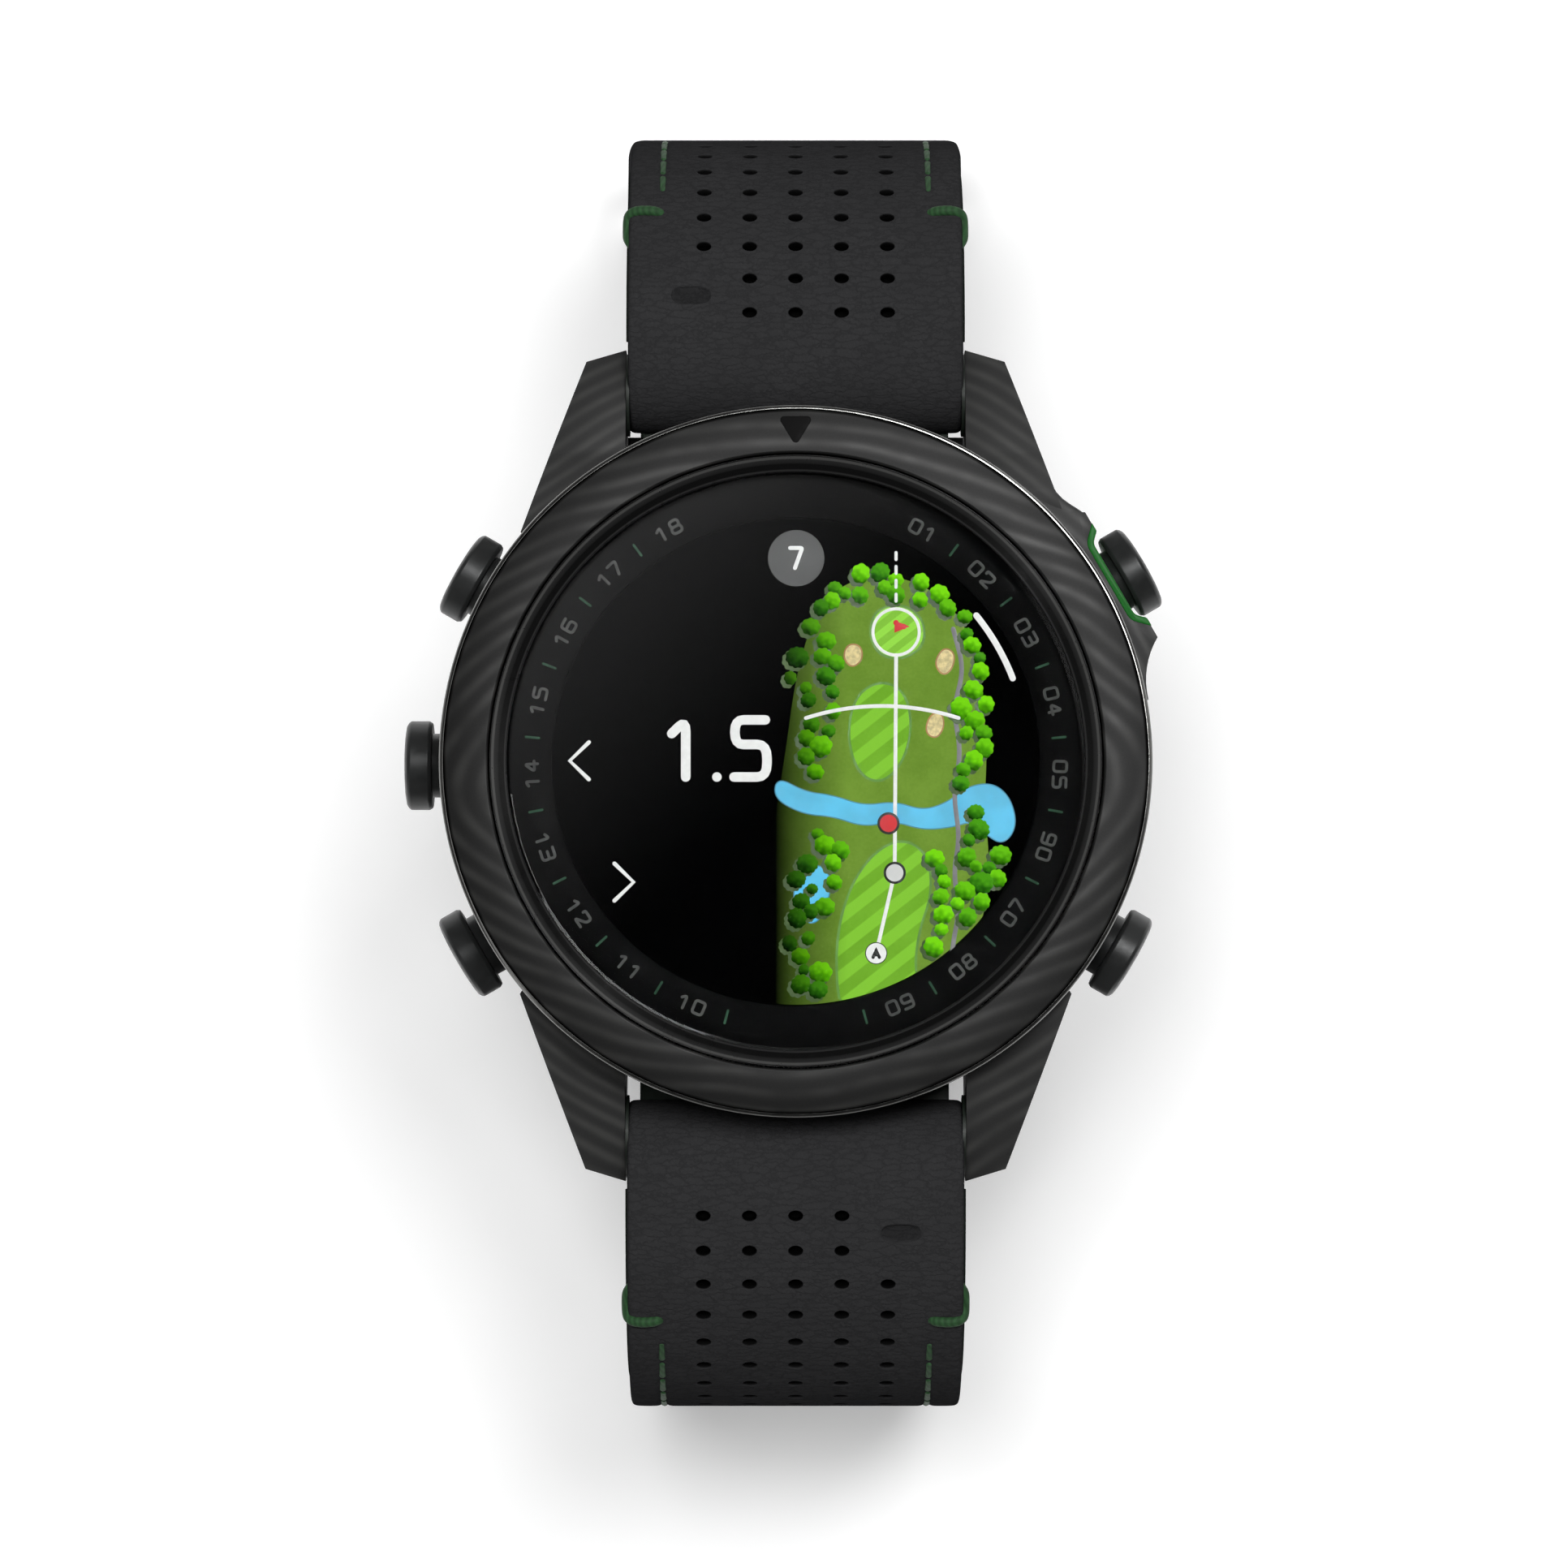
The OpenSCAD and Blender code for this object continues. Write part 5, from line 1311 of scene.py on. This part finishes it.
def tree_crowns(shift, grow, layer):
    """A lobed disc for each tree, with its own centre in a UV map."""
    bm = bmesh.new()
    tint_layer = bm.verts.layers.float.new("tint")
    crown_layer = bm.loops.layers.uv.new("crown")
    for index, (point, size, tint, seed) in enumerate(tree_spots()):
        made = bmesh.ops.create_circle(bm, cap_ends=True, radius=1.0, segments=40)
        lobes = 7 + int(tint * 4)
        place = on_dial(point.x + shift, point.y + shift, layer + index * CROWN_STEP)
        for loop in (loop for face in made["verts"][0].link_faces for loop in face.loops):
            loop[crown_layer].uv = loop.vert.co.xy
        for rim_point in made["verts"]:
            rim_point[tint_layer] = tint
            turn = math.atan2(rim_point.co.y, rim_point.co.x)
            lobe = 0.14 * abs(math.cos(lobes * turn / 2 + seed.y))
            swell = 0.9 + lobe + 0.05 * math.cos(2 * turn + seed.x)
            rim_point.co = place @ (rim_point.co * size * grow * swell)
    return bm


lit_rough = lit_grass("lit_rough", (120, 156, 58), (106, 142, 48))
lit_fairway = lit_grass("lit_fairway", (122, 184, 52), (114, 174, 46), 1.5)
lit_green = lit_grass("lit_green", (140, 204, 70), (132, 196, 62), 0.9)
lit_fringe = lit_print("lit_fringe", (88, 142, 40))
lit_water = lit_print("lit_water", (79, 188, 228), 0.04, 0.5)
lit_bank = lit_print("lit_bank", (58, 132, 164))
lit_sand = lit_print("lit_sand", (208, 190, 130), 0.1, 4.0)
lit_sand_edge = lit_print("lit_sand_edge", (166, 120, 66))
lit_path = lit_print("lit_path", (118, 116, 118))
lit_crowns = lit_trees("lit_crowns")
lit_tree_shade = lit_print("lit_tree_shade", (56, 84, 26))
lit_white = lit_print("lit_white", (236, 236, 234), 0.015, 3.0)
lit_black = lit_print("lit_black", (8, 8, 8))
lit_red = lit_print("lit_red", (214, 26, 36), 0.03)
lit_grey = lit_print("lit_grey", (66, 66, 66), 0.03)
lit_pale = lit_print("lit_pale", (206, 206, 204), 0.03)


def shapes(outlines, layer, grow):
    """Several filled outlines as one mesh."""
    bm = bmesh.new()
    for outline in outlines:
        merge_into(bm, flat_shape(outline, layer, grow))
    return bm


MARK_LAYER = 13


def draw(bm, paths, width, place=(0, 0), layer=MARK_LAYER):
    """Strokes in the lit picture."""
    merge_into(bm, stroke_mesh(paths, width), on_dial(*place, layer))


def dot(bm, place, radius, layer):
    """A flat disc in the lit picture."""
    made = bmesh.ops.create_circle(bm, cap_ends=True, radius=radius, segments=32)
    bmesh.ops.transform(bm, matrix=on_dial(*place, layer), verts=made["verts"])


def arc(radius, first, last, centre=(0, 0), steps=24):
    """Points on an arc, by angles counted from three o'clock."""
    turns = [math.radians(first + (last - first) * step / steps) for step in range(steps + 1)]
    return [(centre[0] + radius * math.cos(turn), centre[1] + radius * math.sin(turn)) for turn in turns]


for name, outlines, layer, grow, finish in (
    ("rough", [ROUGH], 0, 0.0, lit_rough),
    ("fairway_fringe", FAIRWAYS, 1, 0.16, lit_fringe),
    ("fairways", FAIRWAYS, 2, 0.0, lit_fairway),
    ("green_fringe", GREENS, 1, 0.16, lit_fringe),
    ("green", GREENS, 2, 0.0, lit_green),
    ("water_bank", WATER, 3, 0.07, lit_bank),
    ("water", WATER, 4, 0.0, lit_water),
    ("sand_edge", SAND, 3, 0.1, lit_sand_edge),
    ("sand", SAND, 4, 0.0, lit_sand),
):
    light_up(shapes(outlines, layer, grow), name, finish)
cart_path = bmesh.new()
draw(cart_path, [round_corners(CART_PATH, 1.2, 6)], 0.3, layer=5)
light_up(cart_path, "path", lit_path)
light_up(tree_crowns(-0.2, 1.04, 6), "tree_shade", lit_tree_shade)
light_up(tree_crowns(0.0, 1.0, 7), "trees", lit_crowns)

# Lit marks and numbers over the picture

TEE = (5.2, -12.4)
TURN = (6.4, -7.2)
CROSSING = (6.0, -4.0)
PIN_X, PIN_Y = (6.5, 8.4)
AIM_R = 1.5
BADGE = (0.03, 13.2)
ARROW = [(0.62, 1.2), (-0.62, 0), (0.62, -1.2)]

white_marks = bmesh.new()
aim_lines = [[TEE, TURN], [TURN, (PIN_X, PIN_Y - AIM_R)], arc(16.0, 72, 108, (5.6, -12.4))]
draw(white_marks, aim_lines, 0.24)
draw(white_marks, [arc(AIM_R, 0, 360, (PIN_X, PIN_Y), 60)], 0.2)
dashes = [(PIN_Y + 2.0 + step * 0.9, PIN_Y + 2.45 + step * 0.9) for step in range(4)]
draw(white_marks, [[(PIN_X, low), (PIN_X, high)] for low, high in dashes], 0.2)
draw(white_marks, [arc(15.05, 21, 39)], 0.4)
dot(white_marks, TEE, 0.66, MARK_LAYER + 2)
draw(white_marks, [ARROW], 0.26, (-14.0, 0.05))
draw(white_marks, [[(-x, y) for x, y in ARROW]], 0.26, (-11.1, -7.8))
draw(white_marks, number_paths("1.5", 3.7, 0.3, 0.72), 0.62, (-5.1, 0.85))
draw(white_marks, number_paths("7", 1.3, 0.3, 0.75, 0.1), 0.26, BADGE)
light_up(white_marks, "white_marks", lit_white)

black_marks = bmesh.new()
for place in (TEE, CROSSING, TURN):
    dot(black_marks, place, 0.72, MARK_LAYER + 1)
tee_pointer = [
    [(-0.2, -0.26), (0, 0.3), (0.2, -0.26)],
    [(-0.1, -0.12), (0, 0.16), (0.1, -0.12)],
    [(0, -0.08), (0, 0.2)],
]
draw(black_marks, tee_pointer, 0.22, TEE, MARK_LAYER + 4)
light_up(black_marks, "black_marks", lit_black)

red_marks = bmesh.new()
dot(red_marks, CROSSING, 0.56, MARK_LAYER + 2)
flag = [[(0, 0.6), (0.7, 0.35), (0, 0.1), (0, 0.6)], [(0.1, 0.35), (0.5, 0.35)]]
draw(red_marks, [[(PIN_X + x, PIN_Y + y) for x, y in line] for line in flag], 0.36)
light_up(red_marks, "red_marks", lit_red)

pale_marks = bmesh.new()
dot(pale_marks, TURN, 0.56, MARK_LAYER + 2)
light_up(pale_marks, "pale_marks", lit_pale)

badge = bmesh.new()
dot(badge, BADGE, 1.83, 2)
light_up(badge, "badge", lit_grey)


# Floor, light and camera

FLOOR_SIZE = 1.6
floor_grid = bmesh.new()
bmesh.ops.create_grid(floor_grid, x_segments=8, y_segments=8, size=FLOOR_SIZE)
floor_mesh = bpy.data.meshes.new("floor")
floor_grid.to_mesh(floor_mesh)
floor_grid.free()
floor = bpy.data.objects.new("floor", floor_mesh)
bpy.context.collection.objects.link(floor)


def seen_directly(finish):
    """1 where a camera, mirror or glass ray arrives, else 0."""
    rays = add_node(finish, "LightPath", "Is Camera Ray").socket.node.outputs
    kinds = ("Camera", "Glossy", "Transmission")
    seen, mirror, glass = (Signal(finish, rays[f"Is {kind} Ray"]) for kind in kinds)
    return seen.apply("MAXIMUM", mirror).apply("MAXIMUM", glass)


FLOOR_GLOW = 0.31  # lifts the floor to white where it is seen, without lighting the watch
floor_white, floor_shader = new_finish("floor_white", (230, 230, 230), 0.9, Specular_IOR_Level=0.0)
feed(floor_shader, Emission_Color=(1, 1, 1, 1), Emission_Strength=seen_directly(floor_white) * FLOOR_GLOW)
floor_mesh.materials.append(floor_white)

ZENITH = 0.015
HORIZON = 0.14
GLOW = 1.5
GLOW_SIDE = Vector((-0.7, 0.7, 0))  # up and left of the zenith a pale ceiling begins

world = bpy.data.worlds.new("studio")
bpy.context.scene.world = world
world.use_nodes = True
sky = world.node_tree.nodes["Background"]
bearing = add_node(world, "TexCoord", "Generated")
walls = split(bearing)[2].level(HORIZON, ZENITH, 0.5, 0.97, "SMOOTHSTEP")
lean = vector_math("DOT_PRODUCT", bearing, GLOW_SIDE, "Value")
rise = lean.level(0.0, GLOW, 0.025, 0.12, "SMOOTHSTEP")
fall = lean.level(1.0, 0.0, 0.12, 0.2, "SMOOTHSTEP")
feed(sky, Color=(1, 1, 1, 1), Strength=rise * fall + walls)


def softbox(name, place, aim, size, power):
    """A rectangular lamp, in metres, that faces a point."""
    lamp = bpy.data.lights.new(name, "AREA")
    lamp.shape = "RECTANGLE"
    lamp.size, lamp.size_y = size
    lamp.energy = power
    stand = bpy.data.objects.new(name, lamp)
    stand.location = place
    stand.rotation_euler = (Vector(aim) - Vector(place)).to_track_quat("-Z", "Y").to_euler()
    bpy.context.collection.objects.link(stand)
    return stand


overhead = softbox("overhead", (-0.08, 0.09, 0.75), (0, 0, 0), (0.2, 0.2), 2.9)
overhead.visible_glossy = False
overhead.visible_transmission = False
softbox("key", (0.12, 0.15, 0.65), (0, 0, 0.03), (0.16, 0.16), 1.8)
softbox("left", (-0.5, 0.05, 0.3), (0, 0, 0.04), (0.2, 0.5), 0.06)
softbox("right", (0.5, 0.05, 0.3), (0, 0, 0.04), (0.2, 0.5), 0.2)

AIM = Vector((-0.757, -1.54, TOP)) * MM
CAMERA_DISTANCE = 0.4
CAMERA_HEIGHT = math.radians(87.7)
VIEW_HALF = 0.05044  # half the width of the frame at the aim
lens_data = bpy.data.cameras.new("camera")
lens_data.sensor_fit = "HORIZONTAL"
lens_data.angle = 2 * math.atan(VIEW_HALF / CAMERA_DISTANCE)
lens_data.clip_start = 0.01
camera = bpy.data.objects.new("camera", lens_data)
bpy.context.collection.objects.link(camera)
back = Vector((0, -math.cos(CAMERA_HEIGHT), math.sin(CAMERA_HEIGHT)))
camera.location = AIM + CAMERA_DISTANCE * back
camera.rotation_euler = (-back).to_track_quat("-Z", "Y").to_euler()
bpy.context.scene.camera = camera
bpy.context.scene.view_settings.view_transform = "Standard"
